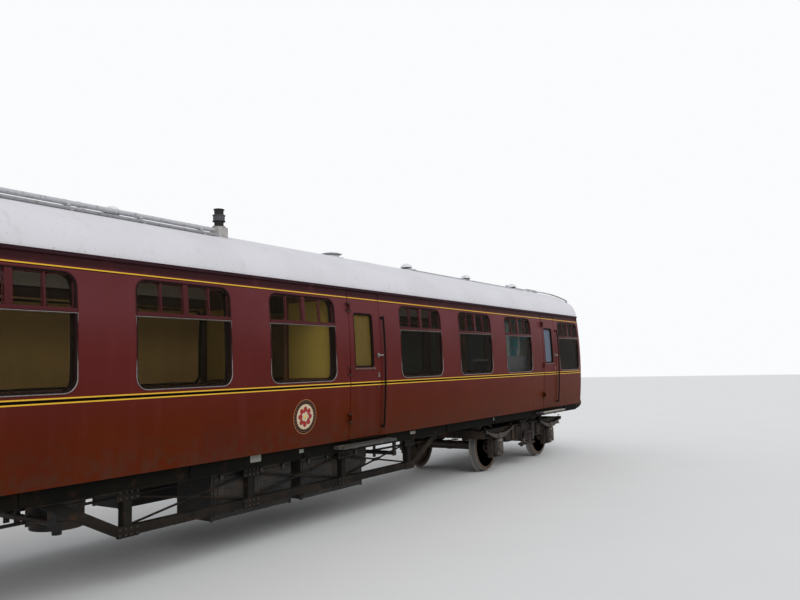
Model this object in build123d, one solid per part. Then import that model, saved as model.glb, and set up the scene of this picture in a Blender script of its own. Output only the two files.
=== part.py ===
from build123d import *
import os
from math import asin, atan2, cos, degrees, pi, sin, sqrt

# A bogie passenger coach with slam doors, in millimetres.
# X runs along the coach, Y across it, Z up from the floor that the wheel flanges stand on.
# The outer curves, doors and side fittings are drawn on the +Y side and turned or mirrored to the other.

# Wheels and axles
FLANGE_DEPTH = 29
TREAD_RADIUS = 457
WHEEL_BACK_TO_BACK = 1360
TYRE_WIDTH = 127
FLANGE_WIDTH = 32
RIM_THICKNESS = 62
WEB_THICKNESS = 28
HUB_RADIUS = 130
HUB_OVERHANG = 12
FLANGE_EASE = 8
FLANGE_ROOT = 14
TREAD_TAPER = 3
TREAD_BEVEL = 6
AXLE_RADIUS = 82
JOURNAL_RADIUS = 60
JOURNAL_END = 1075
JOURNAL_CLEARANCE = 0.3

# Bogies
BOGIE_CENTRES = 14173
BOGIE_WHEELBASE = 2591
BOGIE_RAIL_GAP = 44
SIDE_FRAME_Y = 985
SIDE_FRAME_THICKNESS = 90
SIDE_FRAME_TOP = 830
SIDE_FRAME_DEPTH = 300
AXLE_WINDOW_WIDTH = 620
SIDE_FRAME_TAPER = 130
HORN_DEPTH = 170
HORN_WIDTH = 70
HORN_STAY = 28
AXLEBOX_WIDTH = 250
AXLEBOX_HEIGHT = 300
AXLEBOX_DEPTH = 190
AXLEBOX_PLAY = 6
AXLEBOX_COVER = 40
AXLEBOX_CORNER = 30
AXLEBOX_FOOT_GAP = 20
BOGIE_RAIL_WIDTH = 110
BOLSTER_WIDTH = 330
BOLSTER_DEPTH = 250
PIVOT_RADIUS = 70
PIVOT_PLATE_RADIUS = 230
PIVOT_PLATE_THICKNESS = 30
PIVOT_CLEARANCE = 0.5
SPRING_LENGTH = 1180
SPRING_LEAF = 14
SPRING_LEAVES = 6
SPRING_WIDTH = 90
SPRING_CAMBER = 85
SPRING_SEAT = 14
SPRING_FRAME_GAP = 4
SPRING_SHORTENING = 0.13
BUCKLE_WIDTH = 110
BUCKLE_PROJECTION = 8
HANGER_INSET = 30
HANGER_WIDTH = 44
HANGER_BELOW = 40
HANGER_ABOVE = 30
BRAKE_BLOCK_GAP = 8
BRAKE_BLOCK_THICKNESS = 55
BRAKE_BLOCK_WIDTH = 90
BRAKE_BLOCK_BELOW_AXLE = 150
BRAKE_ARM_WIDTH = 40
BRAKE_ARM_DEPTH = 50
BRAKE_ARM_RISE = 10

# Heights, one above the other
SOLEBAR_HEIGHT = 925
SOLEBAR_DEPTH = 229
FLOOR_THICKNESS = 141
SIDE_SKIRT = 87
SILL_ABOVE_FLOOR = 567
WINDOW_HEIGHT = 1074
TOPLIGHT_HEIGHT = 370
WINDOW_HEAD = 143
GUTTER_HEIGHT = 30
ROOF_RISE = 663
WIDEST_ABOVE_FLOOR = 793

# Cross section
BODY_HALF_WIDTH = 1372
SIDE_RADIUS = 8438
WALL_THICKNESS = 90
SKIRT_THICKNESS = 45
GUTTER_PROJECTION = 20
CROWN_RADIUS = 2100
CROWN_SEAM_Y = 570

# Along the side, from the front end to the rear end
FRONT_MARGIN = 173
WINDOW_WIDTH = 1219
WINDOW_GAP = 610
DOORWAY_WIDTH = 744
FRONT_DOOR_GAP = 202
DOOR_WINDOW_GAP = 582
MIDDLE_DOOR_FRONT_GAP = 509
MIDDLE_DOOR_REAR_GAP = 290
REAR_DOOR_GAP = 537
REAR_MARGIN = 504
FRONT_BAYS = 3
REAR_BAYS = 5
END_BOW = 60
END_FLAT = 520

# Windows
WINDOW_CORNER = 125
FRAME_WIDTH = 20
FRAME_DEPTH = 50
FRAME_RECESS = 6
TRANSOM_HEIGHT = 42
CENTRE_BAR = 62
QUARTER_BAR = 20
QUARTER_OFFSET = 309
GLASS_RECESS = 14
GLASS_THICKNESS = 8
BLIND_THICKNESS = 12
BLIND_OVERLAP = 30
BLIND_BELOW_SILL = 10

# Side doors
DOOR_GAP = 8
DOOR_THICKNESS = 60
DOOR_BEVEL = 25
DOOR_WINDOW_WIDTH = 442
DOOR_WINDOW_HEIGHT = 752
DOOR_WINDOW_FROM_HINGE = 112
DOOR_WINDOW_ABOVE_SILL = 159
DOOR_WINDOW_CORNER = 55
DOOR_GLASS_RECESS = 18
DOOR_GLASS_THICKNESS = 6
HINGE_PIN_PROJECTION = 16
HINGE_PIN_RADIUS = 11
HINGE_LEAF = 46
HINGE_HEIGHT = 76
HINGE_LUG_HEIGHT = 18
HINGE_PLATE = 8
HINGE_RUNNING_GAP = 0.5
LOW_HINGE_BELOW_SILL = 500
MIDDLE_HINGE_ABOVE_SILL = 115
TOP_HINGE_ABOVE_SILL = 980
HANDLE_ABOVE_SILL = 330
HANDLE_FROM_LATCH = 75
HANDLE_REACH = 55
HANDLE_LENGTH = 105
HANDLE_RADIUS = 10
DROPLIGHT_STOP = 24
GRAB_RAIL_RADIUS = 13
GRAB_RAIL_PROJECTION = 42
GRAB_RAIL_FROM_DOORWAY = 28
GRAB_RAIL_BOTTOM = 129
GRAB_RAIL_LENGTH = 1530
GRAB_RAIL_TIP = 22
GRAB_RAIL_FOOT_RADIUS = 11

# Gangway and end doors
PASSAGE_WIDTH = 660
PASSAGE_HEIGHT = 1946
BELLOWS_THICKNESS = 170
BELLOWS_LENGTH = 380
BELLOWS_PLEATS = 7
BELLOWS_PLEAT_DEPTH = 28
BELLOWS_SILL = 62
FACEPLATE_THICKNESS = 28
FACEPLATE_MARGIN = 25
END_DOOR_THICKNESS = 38
END_DOOR_GAP = 8
END_HINGE_OFFSET = 12
END_HINGE_FROM_EDGE = 250
END_STEP_ROWS = 4
END_STEP_FIRST = 150
END_STEP_PITCH = 420
END_STEP_WIDTH = 220
END_STEP_REACH = 130
END_STEP_THICKNESS = 22

# Underframe
SOLEBAR_INSET = 132
SOLEBAR_FLANGE = 75
SOLEBAR_WEB = 12
HEADSTOCK_SETBACK = 165
HEADSTOCK_THICKNESS = 90
CROSSBEAM_WIDTH = 90
CROSSBEAM_DEPTH = 110
CROSSBEAM_BAYS = 12
CENTRE_BEAM_WIDTH = 160
CENTRE_BEAM_SPACING = 560
BODY_BOLSTER_WIDTH = 360
TRUSS_HALF_LENGTH = 3420
TRUSS_HALF_FLAT = 2580
TRUSS_BOTTOM = 505
TRUSS_ANGLE = 90
TRUSS_Y = 1120
STEP_LENGTH = 1220
STEP_BACK_GAP = 14
STEP_THICKNESS = 42
STEP_TOP = 1040
STEP_WIDTH = 178
STEP_BRACKET_WIDTH = 50
STEP_BRACKET_THICKNESS = 14
STEP_BRACKET_FOOT = 10

# Buffers and couplers
BUFFER_SPACING = 1727
BUFFER_HEIGHT = 1054
BUFFER_PROJECTION = 545
BUFFER_HEAD_WIDTH = 520
BUFFER_HEAD_HEIGHT = 356
BUFFER_HEAD_THICKNESS = 32
BUFFER_STOCK_RADIUS = 92
BUFFER_STOCK_LENGTH = 330
BUFFER_PLUNGER_RADIUS = 66
BUFFER_PAD = 200
BUFFER_PAD_THICKNESS = 24
COUPLER_PROJECTION = 520
COUPLER_SHANK = 130
COUPLER_HEAD_WIDTH = 290
COUPLER_HEAD_HEIGHT = 250
COUPLER_JAW = 110

# Equipment below the floor
BATTERY_BOX_LENGTH = 1280
BATTERY_BOX_HEIGHT = 520
BATTERY_BOX_DEPTH = 560
BATTERY_BOX_GAP = 190
BATTERY_HANGER = 60
BRAKE_CYLINDER_X = 2500
BRAKE_CYLINDER_RADIUS = 265
BRAKE_CYLINDER_HEIGHT = 470
BRAKE_FLANGE_PROJECTION = 30
BRAKE_FLANGE_DEPTH = 60
BRAKE_BRACKET_WIDTH = 120
BRAKE_BRACKET_THICKNESS = 50

# Inside
PARTITION_THICKNESS = 34
BENCH_HEIGHT = 450
BENCH_DEPTH = 470
BENCH_LENGTH = 1400
CUSHION_THICKNESS = 90
BENCH_PANEL = 40
UNIT_DEPTH = 600
UNIT_HEIGHT = 800
UNIT_LENGTH = 1150
UNIT_UPSTAND = 80
UNIT_UPSTAND_THICKNESS = 40

# Levels worked out from the stacked heights
RAIL_TOP = FLANGE_DEPTH
AXLE_Z = RAIL_TOP + TREAD_RADIUS
SOLEBAR_BOTTOM = RAIL_TOP + SOLEBAR_HEIGHT
FLOOR_BOTTOM = SOLEBAR_BOTTOM + SOLEBAR_DEPTH
FLOOR_TOP = FLOOR_BOTTOM + FLOOR_THICKNESS
BODY_BOTTOM = FLOOR_BOTTOM - SIDE_SKIRT
SILL = FLOOR_TOP + SILL_ABOVE_FLOOR
WINDOW_TOP = SILL + WINDOW_HEIGHT
TRANSOM = WINDOW_TOP - TOPLIGHT_HEIGHT
GUTTER_BOTTOM = WINDOW_TOP + WINDOW_HEAD
GUTTER_TOP = GUTTER_BOTTOM + GUTTER_HEIGHT
ROOF_TOP = GUTTER_TOP + ROOF_RISE
WIDEST = FLOOR_TOP + WIDEST_ABOVE_FLOOR
SOLEBAR_HALF_SPACING = BODY_HALF_WIDTH - SOLEBAR_INSET
BUFFER_Z = RAIL_TOP + BUFFER_HEIGHT

# The side's openings are laid out from the front end, and their total is the body's length
BODY_LENGTH = (
    FRONT_MARGIN + WINDOW_WIDTH + FRONT_DOOR_GAP + DOORWAY_WIDTH + DOOR_WINDOW_GAP
    + FRONT_BAYS * WINDOW_WIDTH + (FRONT_BAYS - 1) * WINDOW_GAP
    + MIDDLE_DOOR_FRONT_GAP + DOORWAY_WIDTH + MIDDLE_DOOR_REAR_GAP
    + REAR_BAYS * WINDOW_WIDTH + (REAR_BAYS - 1) * WINDOW_GAP
    + REAR_DOOR_GAP + DOORWAY_WIDTH + REAR_MARGIN
)
BODY_END = BODY_LENGTH / 2
END_INNER = BODY_END - WALL_THICKNESS
HEADSTOCK_X = BODY_END - HEADSTOCK_SETBACK


def lay_out_side():
    """Centres of the windows and doorways, walking from the front end to the rear."""
    windows, doorways = [], []
    x = BODY_END - FRONT_MARGIN
    windows.append(x - WINDOW_WIDTH / 2)
    x -= WINDOW_WIDTH + FRONT_DOOR_GAP
    doorways.append(("front", x - DOORWAY_WIDTH / 2))
    x -= DOORWAY_WIDTH + DOOR_WINDOW_GAP
    for bay in range(FRONT_BAYS):
        windows.append(x - WINDOW_WIDTH / 2)
        x -= WINDOW_WIDTH + WINDOW_GAP
    x += WINDOW_GAP - MIDDLE_DOOR_FRONT_GAP
    doorways.append(("middle", x - DOORWAY_WIDTH / 2))
    x -= DOORWAY_WIDTH + MIDDLE_DOOR_REAR_GAP
    for bay in range(REAR_BAYS):
        windows.append(x - WINDOW_WIDTH / 2)
        x -= WINDOW_WIDTH + WINDOW_GAP
    x += WINDOW_GAP - REAR_DOOR_GAP
    doorways.append(("rear", x - DOORWAY_WIDTH / 2))
    return windows, doorways


WINDOWS, DOORWAYS = lay_out_side()
FRONT_DOOR_X, MIDDLE_DOOR_X, REAR_DOOR_X = [x for name, x in DOORWAYS]

# The roof is a crown arc between two shoulder arcs that meet the gutters upright
SIDE_CENTRE_Y = BODY_HALF_WIDTH - SIDE_RADIUS


def side_y(z):
    """Half width of the body's outer face at height z."""
    return SIDE_CENTRE_Y + sqrt(SIDE_RADIUS**2 - (z - WIDEST) ** 2)


EAVES_Y = side_y(GUTTER_TOP)
SHOULDER_RADIUS = (2 * CROWN_RADIUS * ROOF_RISE - ROOF_RISE**2 - EAVES_Y**2) / (2 * (CROWN_RADIUS - EAVES_Y))
SHOULDER_Y = EAVES_Y - SHOULDER_RADIUS
CROWN_Z = ROOF_TOP - CROWN_RADIUS
CROWN_ANGLE = atan2(SHOULDER_Y, GUTTER_TOP - CROWN_Z)
CROWN_SEAM = asin(CROWN_SEAM_Y / CROWN_RADIUS)


def roof_point(angle, depth=0):
    """Point on the roof at an angle from upright about the crown's centre, depth inside its outer face."""
    if abs(angle) <= CROWN_ANGLE:
        radius = CROWN_RADIUS - depth
        return (radius * sin(angle), CROWN_Z + radius * cos(angle))
    side = 1 if angle > 0 else -1
    radius = SHOULDER_RADIUS - depth
    return (side * (SHOULDER_Y + radius * sin(abs(angle))), GUTTER_TOP + radius * cos(angle))


def roof_z(y, depth=0):
    """Height of the crown's face at a distance y from the middle."""
    return CROWN_Z + sqrt((CROWN_RADIUS - depth) ** 2 - y**2)


def shape_of(*edges):
    """Flat face inside a closed run of edges."""
    return Face(Wire(list(edges)))


def polygon(*points):
    """Flat face inside straight lines between points."""
    ends = points[1:] + points[:1]
    return shape_of(*[Line(start, end) for start, end in zip(points, ends)])


def along_x(face, x0, x1):
    """Carry a face drawn in Y and Z from x0 to x1."""
    return extrude(Plane.YZ.offset(x0) * face, amount=x1 - x0, dir=(1, 0, 0))


def along_y(face, y0, y1):
    """Carry a face drawn in X and Z from y0 to y1."""
    return extrude(Plane.XZ.offset(-y0) * face, amount=y1 - y0, dir=(0, 1, 0))


def along_z(face, z0, z1):
    """Carry a face drawn in X and Y from z0 to z1."""
    return extrude(Plane.XY.offset(z0) * face, amount=z1 - z0, dir=(0, 0, 1))


def block(x0, x1, y0, y1, z0, z1):
    """Box between two corners."""
    return Pos((x0 + x1) / 2, (y0 + y1) / 2, (z0 + z1) / 2) * Box(abs(x1 - x0), abs(y1 - y0), abs(z1 - z0))


def rod_x(radius, x0, x1, y, z):
    """Round bar along X."""
    return Pos((x0 + x1) / 2, y, z) * Rot(0, 90, 0) * Cylinder(radius, abs(x1 - x0))


def rod_y(radius, y0, y1, x, z):
    """Round bar along Y."""
    return Pos(x, (y0 + y1) / 2, z) * Rot(90, 0, 0) * Cylinder(radius, abs(y1 - y0))


def rod_z(radius, z0, z1, x, y):
    """Round bar along Z."""
    return Pos(x, y, (z0 + z1) / 2) * Cylinder(radius, abs(z1 - z0))


def other_side(shape):
    """The same piece on the -Y side, at the same place along the coach."""
    return mirror(shape, about=Plane.XZ)


def turned(shape):
    """The same piece turned half round about the coach's middle."""
    return Rot(0, 0, 180) * shape


def both_sides(*shapes):
    return list(shapes) + [other_side(shape) for shape in shapes]


def both_ends(*shapes):
    return list(shapes) + [turned(shape) for shape in shapes]


def side_arc(z0, z1, depth):
    """Arc of the side's profile between two heights, depth inside the outer face."""
    points = [(side_y(z) - depth, z) for z in (z0, (z0 + z1) / 2, z1)]
    return ThreePointArc(*points)


def side_band(z0, z1, outer, inner):
    """Section of the curved side between two heights and two depths."""
    return shape_of(
        side_arc(z0, z1, outer),
        Line((side_y(z1) - outer, z1), (side_y(z1) - inner, z1)),
        side_arc(z1, z0, inner),
        Line((side_y(z0) - inner, z0), (side_y(z0) - outer, z0)),
    )


def pane_band(heights, outer, inner):
    """Section of flat panes that follow the side from one height to the next."""
    rising = [(side_y(z) - outer, z) for z in heights]
    falling = [(side_y(z) - inner, z) for z in reversed(heights)]
    return polygon(*rising, *falling)


def rounded_opening(x, width, z0, z1, corner, shrink=0):
    """Face in X and Z with rounded corners, made smaller all round by shrink."""
    face = RectangleRounded(width - 2 * shrink, z1 - z0 - 2 * shrink, corner - shrink)
    return Pos(x, (z0 + z1) / 2) * face


def inner_section(z0):
    """Section of the space inside walls and roof, from height z0 up."""
    inside = WALL_THICKNESS
    floor_y = side_y(z0) - inside
    eaves = EAVES_Y - inside
    joint = roof_point(CROWN_ANGLE, inside)
    shoulder = roof_point((CROWN_ANGLE + pi / 2) / 2, inside)
    crown = (0, ROOF_TOP - inside)

    def opposite(point):
        return (-point[0], point[1])

    middle_z = (z0 + GUTTER_TOP) / 2
    wall_middle = (side_y(middle_z) - inside, middle_z)
    return shape_of(
        Line((-floor_y, z0), (floor_y, z0)),
        ThreePointArc((floor_y, z0), wall_middle, (eaves, GUTTER_TOP)),
        ThreePointArc((eaves, GUTTER_TOP), shoulder, joint),
        ThreePointArc(joint, crown, opposite(joint)),
        ThreePointArc(opposite(joint), opposite(shoulder), (-eaves, GUTTER_TOP)),
        ThreePointArc((-eaves, GUTTER_TOP), opposite(wall_middle), (-floor_y, z0)),
    )


def end_plan(inset):
    """Plan of the body between its bowed ends, each face moved inwards by inset."""
    wide = BODY_HALF_WIDTH + 2 * GUTTER_PROJECTION
    slope = END_BOW / (BODY_HALF_WIDTH - END_FLAT)
    end = BODY_END - inset
    corner = end - slope * (wide - END_FLAT)
    return polygon(
        (end, -END_FLAT), (end, END_FLAT), (corner, wide), (-corner, wide),
        (-end, END_FLAT), (-end, -END_FLAT), (-corner, -wide), (corner, -wide),
    )


def within_ends(shape, inset=0):
    """Keep what lies between the bowed ends."""
    return shape & along_z(end_plan(inset), BODY_BOTTOM - 1, ROOF_TOP + 1)


def build_side_walls():
    """Wall lengths between the doorways, with rounded windows cut through, on both sides."""
    doors = sorted(x for name, x in DOORWAYS)
    starts = [-BODY_END] + [x + DOORWAY_WIDTH / 2 for x in doors]
    ends = [x - DOORWAY_WIDTH / 2 for x in doors] + [BODY_END]
    walls = []
    for start, end in zip(starts, ends):
        wall = along_x(side_band(FLOOR_BOTTOM, GUTTER_BOTTOM, 0, WALL_THICKNESS), start, end)
        wall += along_x(side_band(BODY_BOTTOM, FLOOR_BOTTOM, 0, SKIRT_THICKNESS), start, end)
        for x in WINDOWS:
            if start < x < end:
                opening = rounded_opening(x, WINDOW_WIDTH, SILL, WINDOW_TOP, WINDOW_CORNER)
                wall -= along_y(opening, 0, 2 * BODY_HALF_WIDTH)
        walls.append(within_ends(wall))
    return both_sides(*walls)


def build_gutters():
    """Cantrail beam with a rain gutter along each side, between walls and roof."""
    section = side_band(GUTTER_BOTTOM, GUTTER_TOP, -GUTTER_PROJECTION, WALL_THICKNESS)
    beam = along_x(section, -BODY_END, BODY_END)
    return both_sides(within_ends(beam))


def roof_strip(start, end):
    """Arc of the crown between two angles from upright, one wall thick."""
    angles = start, (start + end) / 2, end
    outer = [roof_point(angle) for angle in angles]
    inner = [roof_point(angle, WALL_THICKNESS) for angle in reversed(angles)]
    band = shape_of(
        ThreePointArc(*outer), Line(outer[-1], inner[0]), ThreePointArc(*inner), Line(inner[-1], outer[0])
    )
    return within_ends(along_x(band, -BODY_END, BODY_END))


def build_roof_crown():
    """Middle strip of the roof."""
    return [roof_strip(-CROWN_SEAM, CROWN_SEAM)]


def build_roof_haunches():
    """Strips of the crown's arc between its middle strip and the shoulders."""
    return both_sides(roof_strip(CROWN_SEAM, CROWN_ANGLE))


def build_roof_shoulders():
    """Tight arcs of the roof that come down to the gutters."""
    middle = (CROWN_ANGLE + pi / 2) / 2
    eaves = (EAVES_Y, GUTTER_TOP)
    eaves_inside = (EAVES_Y - WALL_THICKNESS, GUTTER_TOP)
    joint_inside = roof_point(CROWN_ANGLE, WALL_THICKNESS)
    band = shape_of(
        ThreePointArc(eaves, roof_point(middle), roof_point(CROWN_ANGLE)),
        Line(roof_point(CROWN_ANGLE), joint_inside),
        ThreePointArc(joint_inside, roof_point(middle, WALL_THICKNESS), eaves_inside),
        Line(eaves_inside, eaves),
    )
    return both_sides(within_ends(along_x(band, -BODY_END, BODY_END)))


def end_slab(section, outer, inner):
    """Part of a section's prism that follows the front end's bow between two insets."""
    prism = along_x(section, BODY_END - END_BOW - 3 * WALL_THICKNESS, BODY_END)
    tall = (BODY_BOTTOM - 1, ROOF_TOP + 1)
    return (prism & along_z(end_plan(outer), *tall)) - along_z(end_plan(inner), *tall)


def build_end_walls():
    """Bowed end panels with the gangway doorway, set inside the walls and roof."""
    wall = end_slab(inner_section(FLOOR_BOTTOM), 0, WALL_THICKNESS)
    wall -= block(
        END_INNER - WALL_THICKNESS, BODY_END + WALL_THICKNESS,
        -PASSAGE_WIDTH / 2, PASSAGE_WIDTH / 2, FLOOR_TOP, FLOOR_TOP + PASSAGE_HEIGHT,
    )
    return both_ends(wall)


def build_floor():
    """Whole floor from wall to wall and end to end."""
    slab = along_x(inner_section(FLOOR_BOTTOM), -BODY_END, BODY_END)
    slab &= block(-BODY_END, BODY_END, -BODY_HALF_WIDTH, BODY_HALF_WIDTH, FLOOR_BOTTOM, FLOOR_TOP)
    return [within_ends(slab, WALL_THICKNESS)]


def build_window_frames():
    """Rubber and metal surround of each window with its transom and toplight bars."""
    frames = []
    for x in WINDOWS:
        hole = rounded_opening(x, WINDOW_WIDTH, SILL, WINDOW_TOP, WINDOW_CORNER)
        inside = rounded_opening(x, WINDOW_WIDTH, SILL, WINDOW_TOP, WINDOW_CORNER, FRAME_WIDTH)
        span = (x - WINDOW_WIDTH, x + WINDOW_WIDTH)
        ring = along_x(side_band(SILL - 1, WINDOW_TOP + 1, FRAME_RECESS, FRAME_DEPTH), *span)
        frame = ring & along_y(hole - inside, 0, 2 * BODY_HALF_WIDTH)
        bars = ring & block(*span, 0, 2 * BODY_HALF_WIDTH, TRANSOM, TRANSOM + TRANSOM_HEIGHT)
        upright = along_x(side_band(TRANSOM, WINDOW_TOP + 1, FRAME_RECESS, GLASS_RECESS), *span)
        for offset, width in [(0, CENTRE_BAR), (-QUARTER_OFFSET, QUARTER_BAR), (QUARTER_OFFSET, QUARTER_BAR)]:
            low, high = x + offset - width / 2, x + offset + width / 2
            bars += upright & block(low, high, 0, 2 * BODY_HALF_WIDTH, TRANSOM, WINDOW_TOP + 1)
        frame += bars & along_y(hole, 0, 2 * BODY_HALF_WIDTH)
        frames.append(frame)
    return both_sides(*frames)


def build_window_glass():
    """Lower pane and toplight pane of each window, flat and inside the frame."""
    panes = []
    heights = (SILL, TRANSOM, WINDOW_TOP)
    for x in WINDOWS:
        inside = rounded_opening(x, WINDOW_WIDTH, SILL, WINDOW_TOP, WINDOW_CORNER, FRAME_WIDTH)
        span = (x - WINDOW_WIDTH, x + WINDOW_WIDTH)
        sheet = along_x(pane_band(heights, GLASS_RECESS, GLASS_RECESS + GLASS_THICKNESS), *span)
        sheet &= along_y(inside, 0, 2 * BODY_HALF_WIDTH)
        sheet -= block(*span, 0, 2 * BODY_HALF_WIDTH, TRANSOM, TRANSOM + TRANSOM_HEIGHT)
        panes.append(sheet)
    return both_sides(*panes)


def build_window_blinds():
    """Blinds down the inside of the far side's windows, all but the one at the front end."""
    half = WINDOW_WIDTH / 2 + BLIND_OVERLAP
    inner = WALL_THICKNESS + BLIND_THICKNESS
    band = side_band(SILL - BLIND_BELOW_SILL, WINDOW_TOP + BLIND_OVERLAP, WALL_THICKNESS, inner)
    return [along_x(band, x - half, x + half) for x in WINDOWS[1:]]


# The side doors are drawn about their own middle, hinged at +X on the +Y side
LEAF_HALF = DOORWAY_WIDTH / 2 - DOOR_GAP
LEAF_BOTTOM = BODY_BOTTOM + DOOR_GAP
LEAF_TOP = GUTTER_BOTTOM - DOOR_GAP
HINGE_Y = BODY_HALF_WIDTH + HINGE_PIN_PROJECTION
DOOR_WINDOW_BOTTOM = SILL + DOOR_WINDOW_ABOVE_SILL
DOOR_WINDOW_TOP = DOOR_WINDOW_BOTTOM + DOOR_WINDOW_HEIGHT
DOOR_WINDOW_X = DOORWAY_WIDTH / 2 - DOOR_WINDOW_FROM_HINGE - DOOR_WINDOW_WIDTH / 2
HINGE_X = DOORWAY_WIDTH / 2

# Heights of the hinges' middles
HINGE_LEVELS = [SILL - LOW_HINGE_BELOW_SILL, SILL + MIDDLE_HINGE_ABOVE_SILL, SILL + TOP_HINGE_ABOVE_SILL]


def lug_spans(level):
    """Lowest and highest points of the two lugs that hold one hinge's knuckle between them."""
    half = HINGE_HEIGHT / 2 + HINGE_RUNNING_GAP
    return [
        (level - half - HINGE_LUG_HEIGHT, level - half),
        (level + half, level + half + HINGE_LUG_HEIGHT),
    ]


def door_opening(shrink=0):
    """Door window's outline, made smaller all round by shrink."""
    return rounded_opening(
        DOOR_WINDOW_X, DOOR_WINDOW_WIDTH, DOOR_WINDOW_BOTTOM, DOOR_WINDOW_TOP, DOOR_WINDOW_CORNER, shrink
    )


def build_door_leaf():
    """Curved door with its window cut, hinge leaves, droplight stop and handle."""
    leaf = along_x(side_band(LEAF_BOTTOM, LEAF_TOP, 0, DOOR_THICKNESS), -LEAF_HALF, LEAF_HALF)
    deepest = side_y(LEAF_BOTTOM) - DOOR_THICKNESS
    leaf &= along_z(
        polygon(
            (LEAF_HALF, deepest - 1), (LEAF_HALF, BODY_HALF_WIDTH + 1), (-LEAF_HALF, BODY_HALF_WIDTH + 1),
            (-LEAF_HALF, BODY_HALF_WIDTH), (-LEAF_HALF + DOOR_BEVEL, deepest - 1),
        ),
        LEAF_BOTTOM, LEAF_TOP,
    )
    leaf -= along_y(door_opening(), 0, 2 * BODY_HALF_WIDTH)
    for level in HINGE_LEVELS:
        low, high = level - HINGE_HEIGHT / 2, level + HINGE_HEIGHT / 2
        face_y = side_y(level) - DOOR_THICKNESS / 2
        strap = block(LEAF_HALF - HINGE_LEAF, LEAF_HALF, face_y, HINGE_Y + HINGE_PLATE / 2, low, high)
        plate_y = HINGE_Y - HINGE_PLATE / 2, HINGE_Y + HINGE_PLATE / 2
        strap += block(LEAF_HALF - 1, HINGE_X, *plate_y, low, high)
        leaf += strap + rod_z(HINGE_PIN_RADIUS, low, high, HINGE_X, HINGE_Y)
    handle_z = SILL + HANDLE_ABOVE_SILL
    handle_x = -LEAF_HALF + HANDLE_FROM_LATCH
    face_y = side_y(handle_z)
    leaf += rod_y(HANDLE_RADIUS, face_y - DOOR_THICKNESS / 2, face_y + HANDLE_REACH, handle_x, handle_z)
    leaf += block(
        handle_x - HANDLE_LENGTH / 2, handle_x + HANDLE_LENGTH / 2,
        face_y + HANDLE_REACH - 2 * HANDLE_RADIUS, face_y + HANDLE_REACH,
        handle_z - HANDLE_RADIUS, handle_z + HANDLE_RADIUS,
    )
    stop_y = side_y(DOOR_WINDOW_BOTTOM)
    leaf += block(
        DOOR_WINDOW_X - DOOR_WINDOW_WIDTH / 2, DOOR_WINDOW_X + DOOR_WINDOW_WIDTH / 2,
        stop_y - DOOR_THICKNESS / 2, stop_y + DROPLIGHT_STOP / 2,
        DOOR_WINDOW_BOTTOM - DROPLIGHT_STOP, DOOR_WINDOW_BOTTOM,
    )
    return leaf


def build_door_glass():
    """Droplight pane, shown shut."""
    band = pane_band(
        (DOOR_WINDOW_BOTTOM, DOOR_WINDOW_TOP), DOOR_GLASS_RECESS, DOOR_GLASS_RECESS + DOOR_GLASS_THICKNESS
    )
    return along_x(band, -LEAF_HALF, LEAF_HALF) & along_y(door_opening(), 0, 2 * BODY_HALF_WIDTH)


def body_hinge_leaf():
    """The body's half of one door's hinges: a lug above and below each knuckle."""
    lugs = []
    for level in HINGE_LEVELS:
        back_y = side_y(level) - SKIRT_THICKNESS / 2
        for low, high in lug_spans(level):
            lug = block(HINGE_X, HINGE_X + HINGE_LEAF, back_y, HINGE_Y, low, high)
            lug += rod_z(HINGE_PIN_RADIUS, low, high, HINGE_X, HINGE_Y)
            lugs.append(lug - door_side_wall())
    return lugs


def door_side_wall():
    """The wall beside the hinge edge, for fitting lugs against its outer face."""
    section = side_band(BODY_BOTTOM, GUTTER_BOTTOM, 0, WALL_THICKNESS)
    return along_x(section, HINGE_X, HINGE_X + 2 * HINGE_LEAF)


def build_hinge_lugs():
    """Hinge lugs beside all six doorways."""
    lugs = body_hinge_leaf()
    placed = []
    for name, x in DOORWAYS:
        placed += [Pos(x, 0, 0) * lug for lug in lugs]
        placed += [Pos(x, 0, 0) * turned(lug) for lug in lugs]
    return placed + build_end_hinge_lugs()


def build_grab_rails():
    """Curved rail beside each doorway's latch edge, on two feet."""
    low = BODY_BOTTOM + GRAB_RAIL_BOTTOM
    high = low + GRAB_RAIL_LENGTH
    x = -DOORWAY_WIDTH / 2 - GRAB_RAIL_FROM_DOORWAY
    tips = low - GRAB_RAIL_TIP, high + GRAB_RAIL_TIP
    start, end = [asin((z - WIDEST) / SIDE_RADIUS) for z in tips]
    reach = SIDE_RADIUS + GRAB_RAIL_PROJECTION
    foot = Plane(
        origin=(x, SIDE_CENTRE_Y + reach * cos(start), WIDEST + reach * sin(start)), x_dir=(1, 0, 0),
        z_dir=(0, -sin(start), cos(start)),
    )
    bend = Axis((x, SIDE_CENTRE_Y, WIDEST), (1, 0, 0))
    rail = revolve(foot * Circle(GRAB_RAIL_RADIUS), bend, degrees(end - start))
    for z in (low, high):
        face_y = side_y(z)
        rail += rod_y(GRAB_RAIL_FOOT_RADIUS, face_y - WALL_THICKNESS / 4, face_y + GRAB_RAIL_PROJECTION, x, z)
    wall = side_band(BODY_BOTTOM, GUTTER_BOTTOM, 0, WALL_THICKNESS)
    rail -= along_x(wall, x - 4 * GRAB_RAIL_RADIUS, x + 4 * GRAB_RAIL_RADIUS)
    placed = []
    for name, centre in DOORWAYS:
        placed += [Pos(centre, 0, 0) * rail, Pos(centre, 0, 0) * turned(rail)]
    return placed


END_HINGE_X = END_INNER - END_HINGE_OFFSET
END_HINGE_Y = PASSAGE_WIDTH / 2
END_HINGE_LEVELS = [
    FLOOR_TOP + END_HINGE_FROM_EDGE,
    FLOOR_TOP + PASSAGE_HEIGHT / 2,
    FLOOR_TOP + PASSAGE_HEIGHT - END_HINGE_FROM_EDGE,
]


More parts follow.
